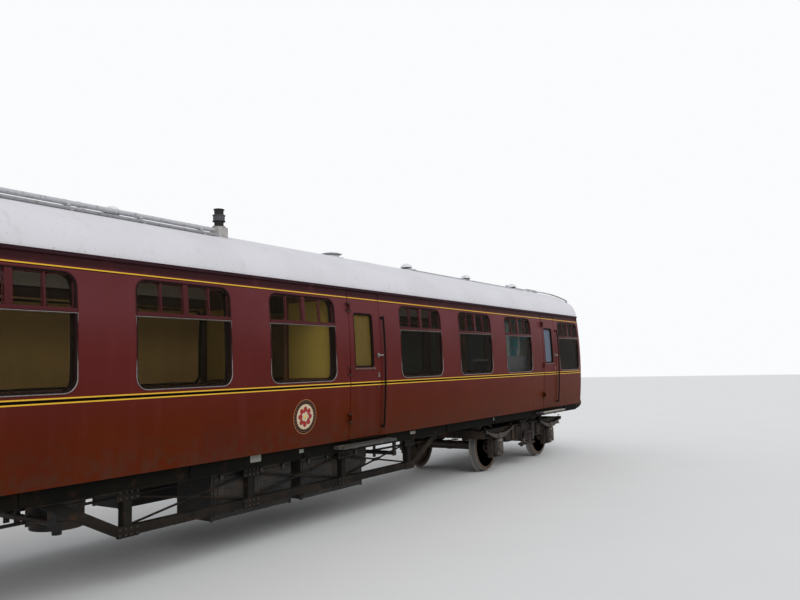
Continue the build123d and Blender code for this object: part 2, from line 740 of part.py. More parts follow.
def build_end_door():
    """Gangway door, drawn at the front end and hung on its +Y edge, opening inwards."""
    half = PASSAGE_WIDTH / 2 - END_DOOR_GAP
    leaf = block(
        END_INNER, END_INNER + END_DOOR_THICKNESS, -half, half,
        FLOOR_TOP + END_DOOR_GAP, FLOOR_TOP + PASSAGE_HEIGHT - END_DOOR_GAP,
    )
    plate = HINGE_PLATE / 2
    for level in END_HINGE_LEVELS:
        low, high = level - HINGE_HEIGHT / 2, level + HINGE_HEIGHT / 2
        leaf += block(END_HINGE_X - plate, END_INNER + 1, half - HINGE_LEAF, half, low, high)
        leaf += block(END_HINGE_X - plate, END_HINGE_X + plate, half - 1, END_HINGE_Y, low, high)
        leaf += rod_z(END_HINGE_OFFSET - HINGE_PLATE / 2, low, high, END_HINGE_X, END_HINGE_Y)
    return leaf


def build_end_hinge_lugs():
    """The end walls' halves of the gangway door hinges."""
    lugs = []
    for level in END_HINGE_LEVELS:
        for low, high in lug_spans(level):
            lug = block(END_HINGE_X, END_INNER, END_HINGE_Y, END_HINGE_Y + HINGE_LEAF, low, high)
            lugs.append(lug + rod_z(END_HINGE_OFFSET - HINGE_PLATE / 2, low, high, END_HINGE_X, END_HINGE_Y))
    return both_ends(*lugs)


BELLOWS_HALF = PASSAGE_WIDTH / 2 + BELLOWS_THICKNESS
BELLOWS_TOP = FLOOR_TOP + PASSAGE_HEIGHT + BELLOWS_THICKNESS
BELLOWS_BOTTOM = FLOOR_TOP - BELLOWS_SILL
BELLOWS_END = BODY_END + BELLOWS_LENGTH


def bellows_outline(x, grow):
    """Outer rectangle of the bellows at x, larger all round by grow."""
    width = 2 * (BELLOWS_HALF + grow)
    height = BELLOWS_TOP - BELLOWS_BOTTOM + 2 * grow
    return Pos(x, 0, (BELLOWS_TOP + BELLOWS_BOTTOM) / 2) * (Plane.YZ * Rectangle(width, height))


def passage_block(x0, x1):
    return block(x0, x1, -PASSAGE_WIDTH / 2, PASSAGE_WIDTH / 2, FLOOR_TOP, FLOOR_TOP + PASSAGE_HEIGHT)


def build_gangway_bellows():
    """Pleated tunnel from the end wall to the face plate."""
    half_pleat = BELLOWS_LENGTH / BELLOWS_PLEATS / 2
    bellows = None
    for index in range(2 * BELLOWS_PLEATS):
        x = BODY_END + index * half_pleat
        grow = (-BELLOWS_PLEAT_DEPTH, 0) if index % 2 == 0 else (0, -BELLOWS_PLEAT_DEPTH)
        fold = loft([bellows_outline(x, grow[0]), bellows_outline(x + half_pleat, grow[1])], ruled=True)
        bellows = fold if bellows is None else bellows + fold
    return both_ends(bellows - passage_block(BODY_END - 1, BELLOWS_END + 1))


def build_gangway_faceplates():
    """Flat plate round each gangway's mouth, which meets the next coach."""
    grow = FACEPLATE_MARGIN
    outline = Pos(0, (BELLOWS_TOP + BELLOWS_BOTTOM) / 2) * RectangleRounded(
        2 * (BELLOWS_HALF + grow), BELLOWS_TOP - BELLOWS_BOTTOM + 2 * grow, 3 * grow
    )
    plate = along_x(outline, BELLOWS_END, BELLOWS_END + FACEPLATE_THICKNESS)
    return both_ends(plate - passage_block(BELLOWS_END - 1, BELLOWS_END + 2 * FACEPLATE_THICKNESS))


BOGIE_X = BOGIE_CENTRES / 2
BOGIE_END = BOGIE_WHEELBASE / 2 + TREAD_RADIUS + FLANGE_DEPTH + BOGIE_RAIL_GAP + BOGIE_RAIL_WIDTH
SIDE_FRAME_BOTTOM = SIDE_FRAME_TOP - SIDE_FRAME_DEPTH
BOLSTER_TOP = SOLEBAR_BOTTOM - 2 * PIVOT_PLATE_THICKNESS
PIVOT_BOTTOM = BOLSTER_TOP - BOLSTER_DEPTH


def channel(y, z0, z1, inwards):
    """Solebar section with its web outside and flanges inwards."""
    return polygon(
        (y, z0), (y, z1), (y + inwards * SOLEBAR_FLANGE, z1),
        (y + inwards * SOLEBAR_FLANGE, z1 - SOLEBAR_WEB), (y + inwards * SOLEBAR_WEB, z1 - SOLEBAR_WEB),
        (y + inwards * SOLEBAR_WEB, z0 + SOLEBAR_WEB), (y + inwards * SOLEBAR_FLANGE, z0 + SOLEBAR_WEB),
        (y + inwards * SOLEBAR_FLANGE, z0),
    )


FRAME_END = HEADSTOCK_X - HEADSTOCK_THICKNESS
CROSSBEAM_BOTTOM = FLOOR_BOTTOM - CROSSBEAM_DEPTH


def build_solebars():
    """Channel along each side, its flanges turned inwards."""
    section = channel(SOLEBAR_HALF_SPACING, SOLEBAR_BOTTOM, FLOOR_BOTTOM, -1)
    return both_sides(along_x(section, -FRAME_END, FRAME_END))


def build_headstocks():
    """Beam across each end, which carries the buffers and the coupler."""
    half = SOLEBAR_HALF_SPACING
    return both_ends(block(FRAME_END, HEADSTOCK_X, -half, half, SOLEBAR_BOTTOM, FLOOR_BOTTOM))


def build_body_bolsters():
    """Box beam across the body over each bogie, with the centre plate and pin that the bogie turns on."""
    half = SOLEBAR_HALF_SPACING - SOLEBAR_WEB
    beam = block(
        BOGIE_X - BODY_BOLSTER_WIDTH / 2, BOGIE_X + BODY_BOLSTER_WIDTH / 2, -half, half,
        FLOOR_BOTTOM - SOLEBAR_DEPTH / 2, CROSSBEAM_BOTTOM,
    )
    plate_bottom = BOLSTER_TOP + PIVOT_PLATE_THICKNESS + PIVOT_CLEARANCE
    beam += rod_z(PIVOT_PLATE_RADIUS, plate_bottom, CROSSBEAM_BOTTOM, BOGIE_X, 0)
    beam += rod_z(PIVOT_RADIUS, PIVOT_BOTTOM, CROSSBEAM_BOTTOM, BOGIE_X, 0)
    return both_ends(beam)


def build_underframe():
    """Grid of centre beams and crossbeams between the solebars, below the floor."""
    frame = None
    for y in (-CENTRE_BEAM_SPACING / 2, CENTRE_BEAM_SPACING / 2):
        beam = block(
            -FRAME_END, FRAME_END, y - CENTRE_BEAM_WIDTH / 2, y + CENTRE_BEAM_WIDTH / 2,
            CROSSBEAM_BOTTOM, FLOOR_BOTTOM,
        )
        frame = beam if frame is None else frame + beam
    half = SOLEBAR_HALF_SPACING - SOLEBAR_FLANGE
    for index in range(CROSSBEAM_BAYS + 1):
        x = -FRAME_END + CROSSBEAM_WIDTH / 2 + index * (2 * FRAME_END - CROSSBEAM_WIDTH) / CROSSBEAM_BAYS
        frame += block(
            x - CROSSBEAM_WIDTH / 2, x + CROSSBEAM_WIDTH / 2, -half, half, CROSSBEAM_BOTTOM, FLOOR_BOTTOM
        )
    return [frame]


def build_truss_frames():
    """Trapezium truss of flat bars hung below each side of the underframe, with posts."""
    bar = TRUSS_ANGLE
    top = SOLEBAR_BOTTOM
    low = TRUSS_BOTTOM
    outer = polygon(
        (-TRUSS_HALF_LENGTH, top), (-TRUSS_HALF_FLAT, low), (TRUSS_HALF_FLAT, low), (TRUSS_HALF_LENGTH, top)
    )
    drop = top - low
    slope = (TRUSS_HALF_LENGTH - TRUSS_HALF_FLAT) / drop
    inset = bar * sqrt(1 + slope**2)
    inner = polygon(
        (-TRUSS_HALF_LENGTH + inset, top), (-TRUSS_HALF_FLAT + inset - bar * slope, low + bar),
        (TRUSS_HALF_FLAT - inset + bar * slope, low + bar), (TRUSS_HALF_LENGTH - inset, top),
    )
    truss = along_y(outer - inner, TRUSS_Y - bar / 2, TRUSS_Y + bar / 2)
    for x in (-TRUSS_HALF_FLAT + bar, -TRUSS_HALF_FLAT / 3, TRUSS_HALF_FLAT / 3, TRUSS_HALF_FLAT - bar):
        truss += block(x - bar / 2, x + bar / 2, TRUSS_Y - bar / 2, TRUSS_Y + bar / 2, low, top)
    seat = block(
        -TRUSS_HALF_LENGTH, TRUSS_HALF_LENGTH, TRUSS_Y - bar / 2, SOLEBAR_HALF_SPACING - SOLEBAR_WEB,
        top - SOLEBAR_WEB, top,
    )
    return both_sides(truss + seat)


def build_battery_boxes():
    """Two lidded boxes hung behind the trusses on each side."""
    boxes = []
    top = SOLEBAR_BOTTOM - SOLEBAR_WEB
    y1 = TRUSS_Y - TRUSS_ANGLE / 2
    y = y1 - BATTERY_BOX_DEPTH / 2
    half = BATTERY_HANGER / 2
    for x0 in (BATTERY_BOX_GAP / 2, -BATTERY_BOX_GAP / 2 - BATTERY_BOX_LENGTH):
        box = block(x0, x0 + BATTERY_BOX_LENGTH, y1 - BATTERY_BOX_DEPTH, y1, top - BATTERY_BOX_HEIGHT, top)
        for x in (x0 + BATTERY_BOX_LENGTH / 4, x0 + 3 * BATTERY_BOX_LENGTH / 4):
            box += block(x - half, x + half, y - half, y + half, top - 1, FLOOR_BOTTOM)
        boxes.append(box)
    return both_sides(*boxes)


def build_brake_cylinders():
    """Upright brake cylinders hung between the trusses and the bogies."""
    x = BRAKE_CYLINDER_X
    top = SOLEBAR_BOTTOM
    cylinder = rod_z(BRAKE_CYLINDER_RADIUS, top - BRAKE_CYLINDER_HEIGHT, top, x, 0)
    flange_bottom = top - BRAKE_FLANGE_DEPTH
    cylinder += rod_z(BRAKE_CYLINDER_RADIUS + BRAKE_FLANGE_PROJECTION, flange_bottom, top, x, 0)
    half = CENTRE_BEAM_SPACING / 2
    x0, x1 = x - BRAKE_BRACKET_WIDTH / 2, x + BRAKE_BRACKET_WIDTH / 2
    thick = BRAKE_BRACKET_THICKNESS / 2
    for y in (-half, half):
        cylinder += block(x0, x1, y - thick, y + thick, flange_bottom, CROSSBEAM_BOTTOM)
    cylinder += block(x0, x1, -half, half, (flange_bottom + top) / 2, top)
    return both_ends(cylinder)


def build_step_boards():
    """Wooden step below each doorway, on two brackets from the solebar."""
    y0 = SOLEBAR_HALF_SPACING + STEP_BACK_GAP
    y1 = y0 + STEP_WIDTH
    z0 = STEP_TOP - STEP_THICKNESS
    step = block(-STEP_LENGTH / 2, STEP_LENGTH / 2, y0, y1, z0, STEP_TOP)
    step = fillet(step.edges().filter_by(Axis.X).group_by(Axis.Y)[-1], STEP_THICKNESS / 4)
    half = STEP_BRACKET_WIDTH / 2
    foot = SOLEBAR_BOTTOM + STEP_BRACKET_FOOT
    for x in (-STEP_LENGTH / 4, STEP_LENGTH / 4):
        step += block(
            x - half, x + half, SOLEBAR_HALF_SPACING, y1 - STEP_THICKNESS, z0 - STEP_BRACKET_THICKNESS, z0
        )
        step += block(x - half, x + half, SOLEBAR_HALF_SPACING, y0, foot, STEP_TOP)
    placed = []
    for name, x in DOORWAYS:
        placed += [Pos(x, 0, 0) * step, Pos(x, 0, 0) * turned(step)]
    return placed


def build_buffers():
    """Buffer stocks on the headstocks with oval heads."""
    buffers = []
    tip = BODY_END + BUFFER_PROJECTION
    for y in (-BUFFER_SPACING / 2, BUFFER_SPACING / 2):
        pad = block(
            HEADSTOCK_X, HEADSTOCK_X + BUFFER_PAD_THICKNESS, y - BUFFER_PAD / 2, y + BUFFER_PAD / 2,
            FLOOR_BOTTOM - BUFFER_PAD, FLOOR_BOTTOM,
        )
        stock = rod_x(BUFFER_STOCK_RADIUS, HEADSTOCK_X, HEADSTOCK_X + BUFFER_STOCK_LENGTH, y, BUFFER_Z)
        plunger = rod_x(BUFFER_PLUNGER_RADIUS, HEADSTOCK_X, tip - 1, y, BUFFER_Z)
        oval = Pos(y, BUFFER_Z) * Ellipse(BUFFER_HEAD_WIDTH / 2, BUFFER_HEAD_HEIGHT / 2)
        head = along_x(oval, tip - BUFFER_HEAD_THICKNESS, tip)
        head = fillet(head.edges().group_by(Axis.X)[0], BUFFER_HEAD_THICKNESS / 3)
        buffers.append(pad + stock + plunger + head)
    return both_ends(*buffers)


def build_couplers():
    """Knuckle coupler below each gangway."""
    tip = BODY_END + COUPLER_PROJECTION
    z = BUFFER_Z
    half = COUPLER_SHANK / 2
    shank = block(HEADSTOCK_X, tip - COUPLER_JAW, -half, half, z - half, z + half)
    width = COUPLER_HEAD_WIDTH
    back = tip - width
    jaw = polygon(
        (back, -width / 4), (back, width / 4), (tip - COUPLER_JAW, width / 2), (tip, width / 2),
        (tip, width / 4), (tip - COUPLER_JAW, width / 8), (tip - COUPLER_JAW, -width / 4),
        (tip - COUPLER_JAW / 4, -width / 4), (tip - COUPLER_JAW / 4, -width / 2),
        (back + COUPLER_JAW / 2, -width / 2),
    )
    head = along_z(jaw, z - COUPLER_HEAD_HEIGHT / 2, z + COUPLER_HEAD_HEIGHT / 2)
    return both_ends(shank + head)


# Ventilators on the roof: distance along the coach, across it, radius and height above the roof
ROOF_VENTS = [
    (-2211, -450, 100, 110),
    (1560, -450, 160, 62),
    (3663, -450, 100, 110),
    (5854, -450, 100, 110),
    (8068, -450, 100, 110),
]
VENT_SKIRT = 0.3
VENT_NECK = 0.75
VENT_RIM = 0.12
# Long pipes that end in the chimney's base: distance across the roof, height above it, radius
ROOF_PIPES = [(-690, 65, 27), (-760, 20, 18)]
ROOF_PIPE_START = -6300
PIPE_BRACKETS = 7
PIPE_BRACKET_WIDTH = 40
FIRST_BRACKET_GAP = 60
LAST_BRACKET_GAP = 200
BRACKET_ROOT = 60
CHIMNEY_X = -915
CHIMNEY_Y = -705
CHIMNEY_BASE = 150
CHIMNEY_BASE_HEIGHT = 105
CHIMNEY_RADIUS = 56
CHIMNEY_HEIGHT = 335
COLLAR_RADIUS = 70
COLLAR_ABOVE_ROOF = 184
COLLAR_HEIGHT = 74
FILLER_RADIUS = 16
FILLER_HEIGHT = 36
FILLER_ROOT = 30
FILLER_X = 9740
FILLER_START = 8130
FILLER_HIGH_Y = -300
FILLER_LOW_Y = -1100


def on_roof(shape):
    """Trim what lies below the crown's outer face."""
    drum = Pos(0, CROWN_Z) * Circle(CROWN_RADIUS)
    return shape - along_x(drum, -BODY_END, BODY_END)


def build_roof_vents():
    """Domed ventilators on short necks."""
    vents = []
    for x, y, radius, height in ROOF_VENTS:
        skirt = height * VENT_SKIRT
        shoulder = skirt + height * VENT_RIM
        rise = height - shoulder
        cap = (radius**2 + rise**2) / (2 * rise)
        half_angle = asin(radius / cap) / 2
        dome = (cap * sin(half_angle), height - cap + cap * cos(half_angle))
        profile = shape_of(
            Line((0, -radius), (radius * VENT_NECK, -radius)),
            Line((radius * VENT_NECK, -radius), (radius * VENT_NECK, skirt)),
            Line((radius * VENT_NECK, skirt), (radius, skirt)),
            Line((radius, skirt), (radius, shoulder)),
            ThreePointArc((radius, shoulder), dome, (0, height)),
            Line((0, height), (0, -radius)),
        )
        vents.append(on_roof(Pos(x, y, roof_z(y)) * revolve(Plane.XZ * profile, Axis.Z)))
    return vents


def build_roof_pipes():
    """Twin pipes along the roof on posts, and the filler pipe over the front end of the roof."""
    x0, x1 = ROOF_PIPE_START, CHIMNEY_X - CHIMNEY_BASE / 2
    pitch = (x1 - x0 - FIRST_BRACKET_GAP - LAST_BRACKET_GAP) / (PIPE_BRACKETS - 1)
    half = PIPE_BRACKET_WIDTH / 2
    pieces = []
    for y, height, radius in ROOF_PIPES:
        z = roof_z(y) + height
        pipe = rod_x(radius, x0, x1, y, z)
        for index in range(PIPE_BRACKETS):
            x = x0 + FIRST_BRACKET_GAP + index * pitch
            pipe += block(x - half, x + half, y - radius, y + radius, z - height - BRACKET_ROOT, z)
        pieces.append(on_roof(pipe))
    high_z = roof_z(FILLER_HIGH_Y)
    filler = rod_x(FILLER_RADIUS, FILLER_START, FILLER_X, FILLER_HIGH_Y, high_z + FILLER_HEIGHT)
    radius = CROWN_RADIUS + FILLER_HEIGHT
    start = asin(FILLER_HIGH_Y / radius)
    turn = degrees(start - asin(FILLER_LOW_Y / radius))
    section = Plane(
        origin=(FILLER_X, FILLER_HIGH_Y, CROWN_Z + radius * cos(start)), x_dir=(1, 0, 0),
        z_dir=(0, -cos(start), sin(start)),
    )
    filler += revolve(section * Circle(FILLER_RADIUS), Axis((FILLER_X, 0, CROWN_Z), (1, 0, 0)), turn)
    filler += Pos(FILLER_X, FILLER_HIGH_Y, CROWN_Z + radius * cos(start)) * Sphere(FILLER_RADIUS)
    for y in (FILLER_HIGH_Y, FILLER_LOW_Y):
        filler += block(
            FILLER_X - FILLER_RADIUS, FILLER_X + FILLER_RADIUS, y - FILLER_RADIUS, y + FILLER_RADIUS,
            roof_z(y) - 2 * FILLER_HEIGHT, roof_z(y) + FILLER_HEIGHT,
        )
    cap_top = high_z + 2 * FILLER_HEIGHT
    filler += rod_z(2 * FILLER_RADIUS, high_z - FILLER_ROOT, cap_top, FILLER_START, FILLER_HIGH_Y)
    pieces.append(on_roof(filler))
    return pieces


def build_chimney():
    """Stove pipe with a collar, standing on a square base."""
    base = roof_z(CHIMNEY_Y)
    top = base + CHIMNEY_HEIGHT
    half = CHIMNEY_BASE / 2
    foot = block(
        CHIMNEY_X - half, CHIMNEY_X + half, CHIMNEY_Y - half, CHIMNEY_Y + half,
        base - CHIMNEY_BASE, base + CHIMNEY_BASE_HEIGHT,
    )
    pipe = rod_z(CHIMNEY_RADIUS, base, top, CHIMNEY_X, CHIMNEY_Y)
    collar = base + COLLAR_ABOVE_ROOF
    pipe += rod_z(COLLAR_RADIUS, collar, collar + COLLAR_HEIGHT, CHIMNEY_X, CHIMNEY_Y)
    return [on_roof(foot + pipe)]


# Partitions across the coach: distance along it
PARTITIONS = [
    REAR_DOOR_X + DOORWAY_WIDTH / 2 + REAR_DOOR_GAP / 2,
    MIDDLE_DOOR_X - DOORWAY_WIDTH / 2 - MIDDLE_DOOR_REAR_GAP / 2,
    MIDDLE_DOOR_X + DOORWAY_WIDTH / 2 + MIDDLE_DOOR_FRONT_GAP / 2,
    FRONT_DOOR_X - DOORWAY_WIDTH / 2 - DOOR_WINDOW_GAP / 2,
    FRONT_DOOR_X + DOORWAY_WIDTH / 2 + FRONT_DOOR_GAP / 2,
]


def build_partitions():
    """Cross walls with an aisle doorway."""
    walls = []
    for x in PARTITIONS:
        wall = along_x(inner_section(FLOOR_TOP), x - PARTITION_THICKNESS / 2, x + PARTITION_THICKNESS / 2)
        walls.append(wall - passage_block(x - PARTITION_THICKNESS, x + PARTITION_THICKNESS))
    return walls


def bench_places():
    """Centres and sides of the benches: one below each saloon window but the kitchen's."""
    kitchen = WINDOWS[1]
    for x in WINDOWS[1:]:
        for side in (-1, 1):
            if not (x == kitchen and side == -1):
                yield x, side


def bench_back():
    """Distance from the middle to the back of a bench, clear of the wall's foot."""
    return side_y(FLOOR_TOP) - WALL_THICKNESS


def build_bench_frames():
    """Wooden boxes that carry the bench cushions."""
    frames = []
    back = bench_back()
    for x, side in bench_places():
        y0, y1 = sorted((side * back, side * (back - BENCH_DEPTH + BENCH_PANEL)))
        top = FLOOR_TOP + BENCH_HEIGHT - CUSHION_THICKNESS
        frames.append(block(x - BENCH_LENGTH / 2, x + BENCH_LENGTH / 2, y0, y1, FLOOR_TOP, top))
    return frames


def build_bench_cushions():
    """Seat cushions along the walls."""
    cushions = []
    back = bench_back()
    for x, side in bench_places():
        y0, y1 = sorted((side * back, side * (back - BENCH_DEPTH)))
        top = FLOOR_TOP + BENCH_HEIGHT
        cushion = block(x - BENCH_LENGTH / 2, x + BENCH_LENGTH / 2, y0, y1, top - CUSHION_THICKNESS, top)
        cushions.append(fillet(cushion.edges().filter_by(Axis.X).group_by(Axis.Z)[-1], CUSHION_THICKNESS / 4))
    return cushions


def build_kitchen_unit():
    """Grey cooker and cupboard behind the window next to the front door."""
    back = -bench_back()
    x = WINDOWS[1]
    half = UNIT_LENGTH / 2
    top = FLOOR_TOP + UNIT_HEIGHT
    unit = block(x - half, x + half, back, back + UNIT_DEPTH, FLOOR_TOP, top)
    unit += block(x - half, x + half, back, back + UNIT_UPSTAND_THICKNESS, top - 1, top + UNIT_UPSTAND)
    return [unit]


def build_end_steps():
    """Climbing steps on each end wall, beside the gangway."""
    steps = []
    y = (BELLOWS_HALF + EAVES_Y) / 2
    x = BODY_END - END_BOW * (y - END_FLAT) / (BODY_HALF_WIDTH - END_FLAT)
    half = END_STEP_WIDTH / 2
    body = along_z(end_plan(0), BODY_BOTTOM - 1, ROOF_TOP + 1)
    for index in range(END_STEP_ROWS):
        z = FLOOR_TOP + END_STEP_FIRST + index * END_STEP_PITCH
        top = z + END_STEP_THICKNESS
        tread = block(x - WALL_THICKNESS / 2, x + END_STEP_REACH, y - half, y + half, z, top)
        steps.append(tread - body)
    return both_ends(*steps)


def bogie_side_frame():
    """Pressed side frame seen from the side: deep in the middle, arched over each axlebox, with horns."""
    half_base = BOGIE_WHEELBASE / 2
    end = BOGIE_END
    top, low = SIDE_FRAME_TOP, SIDE_FRAME_BOTTOM
    arch = low + SIDE_FRAME_DEPTH / 2
    gap = AXLE_WINDOW_WIDTH / 2
    horn = AXLEBOX_WIDTH / 2 + AXLEBOX_PLAY
    foot = AXLE_Z - HORN_DEPTH
    belly = half_base - gap - SIDE_FRAME_TAPER
    outline = polygon(
        (-end, arch), (-end, top), (end, top), (end, arch), (half_base + gap, arch), (half_base - gap, arch),
        (belly, low), (-belly, low), (-half_base + gap, arch), (-half_base - gap, arch),
    )
    faces = SIDE_FRAME_Y - SIDE_FRAME_THICKNESS / 2, SIDE_FRAME_Y + SIDE_FRAME_THICKNESS / 2
    frame = along_y(outline, *faces)
    for axle in (-half_base, half_base):
        for side in (-1, 1):
            x0 = axle + side * horn
            frame += block(x0, x0 + side * HORN_WIDTH, *faces, foot, arch + 1)
        frame += block(axle - horn - HORN_WIDTH, axle + horn + HORN_WIDTH, *faces, foot - HORN_STAY, foot)
    return frame


def brake_shoes():
    """Cast blocks that hang beside each wheel's tread, with a hanger up to the frame."""
    shoes = []
    half_base = BOGIE_WHEELBASE / 2
    y = WHEEL_BACK_TO_BACK / 2 + TYRE_WIDTH / 2 + FLANGE_WIDTH / 2
    inner = TREAD_RADIUS + FLANGE_DEPTH + BRAKE_BLOCK_GAP
    low = SIDE_FRAME_BOTTOM + BRAKE_ARM_RISE
    high = low + BRAKE_ARM_DEPTH
    half = BRAKE_BLOCK_WIDTH / 2
    for axle in (-half_base, half_base):
        inwards = -1 if axle > 0 else 1
        x0 = axle + inwards * inner
        x1 = x0 + inwards * BRAKE_BLOCK_THICKNESS
        shoe = block(x0, x1, y - half, y + half, AXLE_Z - BRAKE_BLOCK_BELOW_AXLE, high)
        shoe += block(x0, x1, y - BRAKE_ARM_WIDTH / 2, SIDE_FRAME_Y, low, high)
        shoes.append(shoe)
    return shoes


def build_bogie_frame():
    """Side frames joined by end rails and the bolster that carries the body's pivot."""
    end = BOGIE_END
    side = bogie_side_frame()
    frame = side + other_side(side)
    inner = SIDE_FRAME_Y - SIDE_FRAME_THICKNESS / 2
    outer = SIDE_FRAME_Y + SIDE_FRAME_THICKNESS / 2
    rail_bottom = SIDE_FRAME_TOP - SIDE_FRAME_DEPTH / 2
    for x0 in (-end, end - BOGIE_RAIL_WIDTH):
        frame += block(x0, x0 + BOGIE_RAIL_WIDTH, -inner, inner, rail_bottom, SIDE_FRAME_TOP)
    frame += block(-BOLSTER_WIDTH / 2, BOLSTER_WIDTH / 2, -outer, outer, PIVOT_BOTTOM, BOLSTER_TOP)
    frame += rod_z(PIVOT_PLATE_RADIUS, BOLSTER_TOP - 1, BOLSTER_TOP + PIVOT_PLATE_THICKNESS, 0, 0)
    for shoe in brake_shoes():
        frame += shoe + other_side(shoe)
    frame -= rod_z(PIVOT_RADIUS + PIVOT_CLEARANCE, PIVOT_BOTTOM - 1, SOLEBAR_BOTTOM, 0, 0)
    return [frame]


AXLEBOX_TOP = AXLE_Z + AXLEBOX_HEIGHT / 2


def build_axleboxes():
    """Boxes that hold the axle's journals between the horns."""
    boxes = []
    for x in (-BOGIE_WHEELBASE / 2, BOGIE_WHEELBASE / 2):
        y0 = SIDE_FRAME_Y - AXLEBOX_DEPTH / 2
        y1 = SIDE_FRAME_Y + AXLEBOX_DEPTH / 2 + AXLEBOX_COVER
        bottom = AXLE_Z - HORN_DEPTH + AXLEBOX_FOOT_GAP
        box = block(x - AXLEBOX_WIDTH / 2, x + AXLEBOX_WIDTH / 2, y0, y1, bottom, AXLEBOX_TOP)
        box = fillet(box.edges().filter_by(Axis.Y), AXLEBOX_CORNER)
        box -= rod_y(JOURNAL_RADIUS + JOURNAL_CLEARANCE, y0 - 1, JOURNAL_END + JOURNAL_CLEARANCE, x, AXLE_Z)
        boxes.append(box)
    return both_sides(*boxes)


def build_axle_springs():
    """Leaf springs over the axleboxes, outside the frame, with hangers to it."""
    springs = []
    frame_y = SIDE_FRAME_Y + SIDE_FRAME_THICKNESS / 2
    y0 = frame_y + SPRING_FRAME_GAP
    y1 = y0 + SPRING_WIDTH
    half = SPRING_LENGTH / 2
    base = AXLEBOX_TOP + SPRING_SEAT
    for x in (-BOGIE_WHEELBASE / 2, BOGIE_WHEELBASE / 2):
        stack = None
        for leaf in range(SPRING_LEAVES):
            reach = half * (1 - SPRING_SHORTENING * leaf)
            low = base + (SPRING_LEAVES - 1 - leaf) * SPRING_LEAF
            high = low + SPRING_LEAF
            rise = SPRING_CAMBER * (reach / half) ** 2
            face = shape_of(
                ThreePointArc((x - reach, high + rise), (x, high), (x + reach, high + rise)),
                Line((x + reach, high + rise), (x + reach, low + rise)),
                ThreePointArc((x + reach, low + rise), (x, low), (x - reach, low + rise)),
                Line((x - reach, low + rise), (x - reach, high + rise)),
            )
            strip = along_y(face, y0, y1)
            stack = strip if stack is None else stack + strip
        buckle = BUCKLE_WIDTH / 2
        buckle_top = base + SPRING_LEAVES * SPRING_LEAF + SPRING_SEAT
        stack += block(x - buckle, x + buckle, y0, y1 + BUCKLE_PROJECTION, AXLEBOX_TOP, buckle_top)
        eye = base + (SPRING_LEAVES - 1) * SPRING_LEAF + SPRING_CAMBER
        for end in (-1, 1):
            middle = x + end * (half - HANGER_INSET)
            x0, x1 = middle - HANGER_WIDTH / 2, middle + HANGER_WIDTH / 2
            stack += block(x0, x1, frame_y, y1, eye - HANGER_BELOW, eye + HANGER_ABOVE)
        springs.append(stack)
    return both_sides(*springs)


def build_wheelset():
    """Axle with two flanged wheels, turning as one."""
    back = WHEEL_BACK_TO_BACK / 2
    face = back + TYRE_WIDTH
    flange_radius = TREAD_RADIUS + FLANGE_DEPTH
    rim_inner = TREAD_RADIUS - RIM_THICKNESS
    web_y = back + TYRE_WIDTH / 2 - WEB_THICKNESS / 2
    profile = polygon(
        (0, 0), (AXLE_RADIUS, 0), (AXLE_RADIUS, back - HUB_OVERHANG), (HUB_RADIUS, back - HUB_OVERHANG),
        (HUB_RADIUS, web_y), (rim_inner, web_y), (rim_inner, back), (flange_radius - FLANGE_EASE, back),
        (flange_radius, back + FLANGE_EASE), (flange_radius, back + FLANGE_WIDTH - FLANGE_ROOT),
        (TREAD_RADIUS, back + FLANGE_WIDTH), (TREAD_RADIUS - TREAD_TAPER, face - TREAD_BEVEL),
        (TREAD_RADIUS - TREAD_TAPER - TREAD_BEVEL, face), (rim_inner, face),
        (rim_inner, web_y + WEB_THICKNESS), (HUB_RADIUS, web_y + WEB_THICKNESS),
        (HUB_RADIUS, face + HUB_OVERHANG), (JOURNAL_RADIUS, face + HUB_OVERHANG),
        (JOURNAL_RADIUS, JOURNAL_END), (0, JOURNAL_END),
    )
    half = revolve(profile, Axis.Y)
    wheelset = half + other_side(half)
    return Pos(0, 0, AXLE_Z) * wheelset


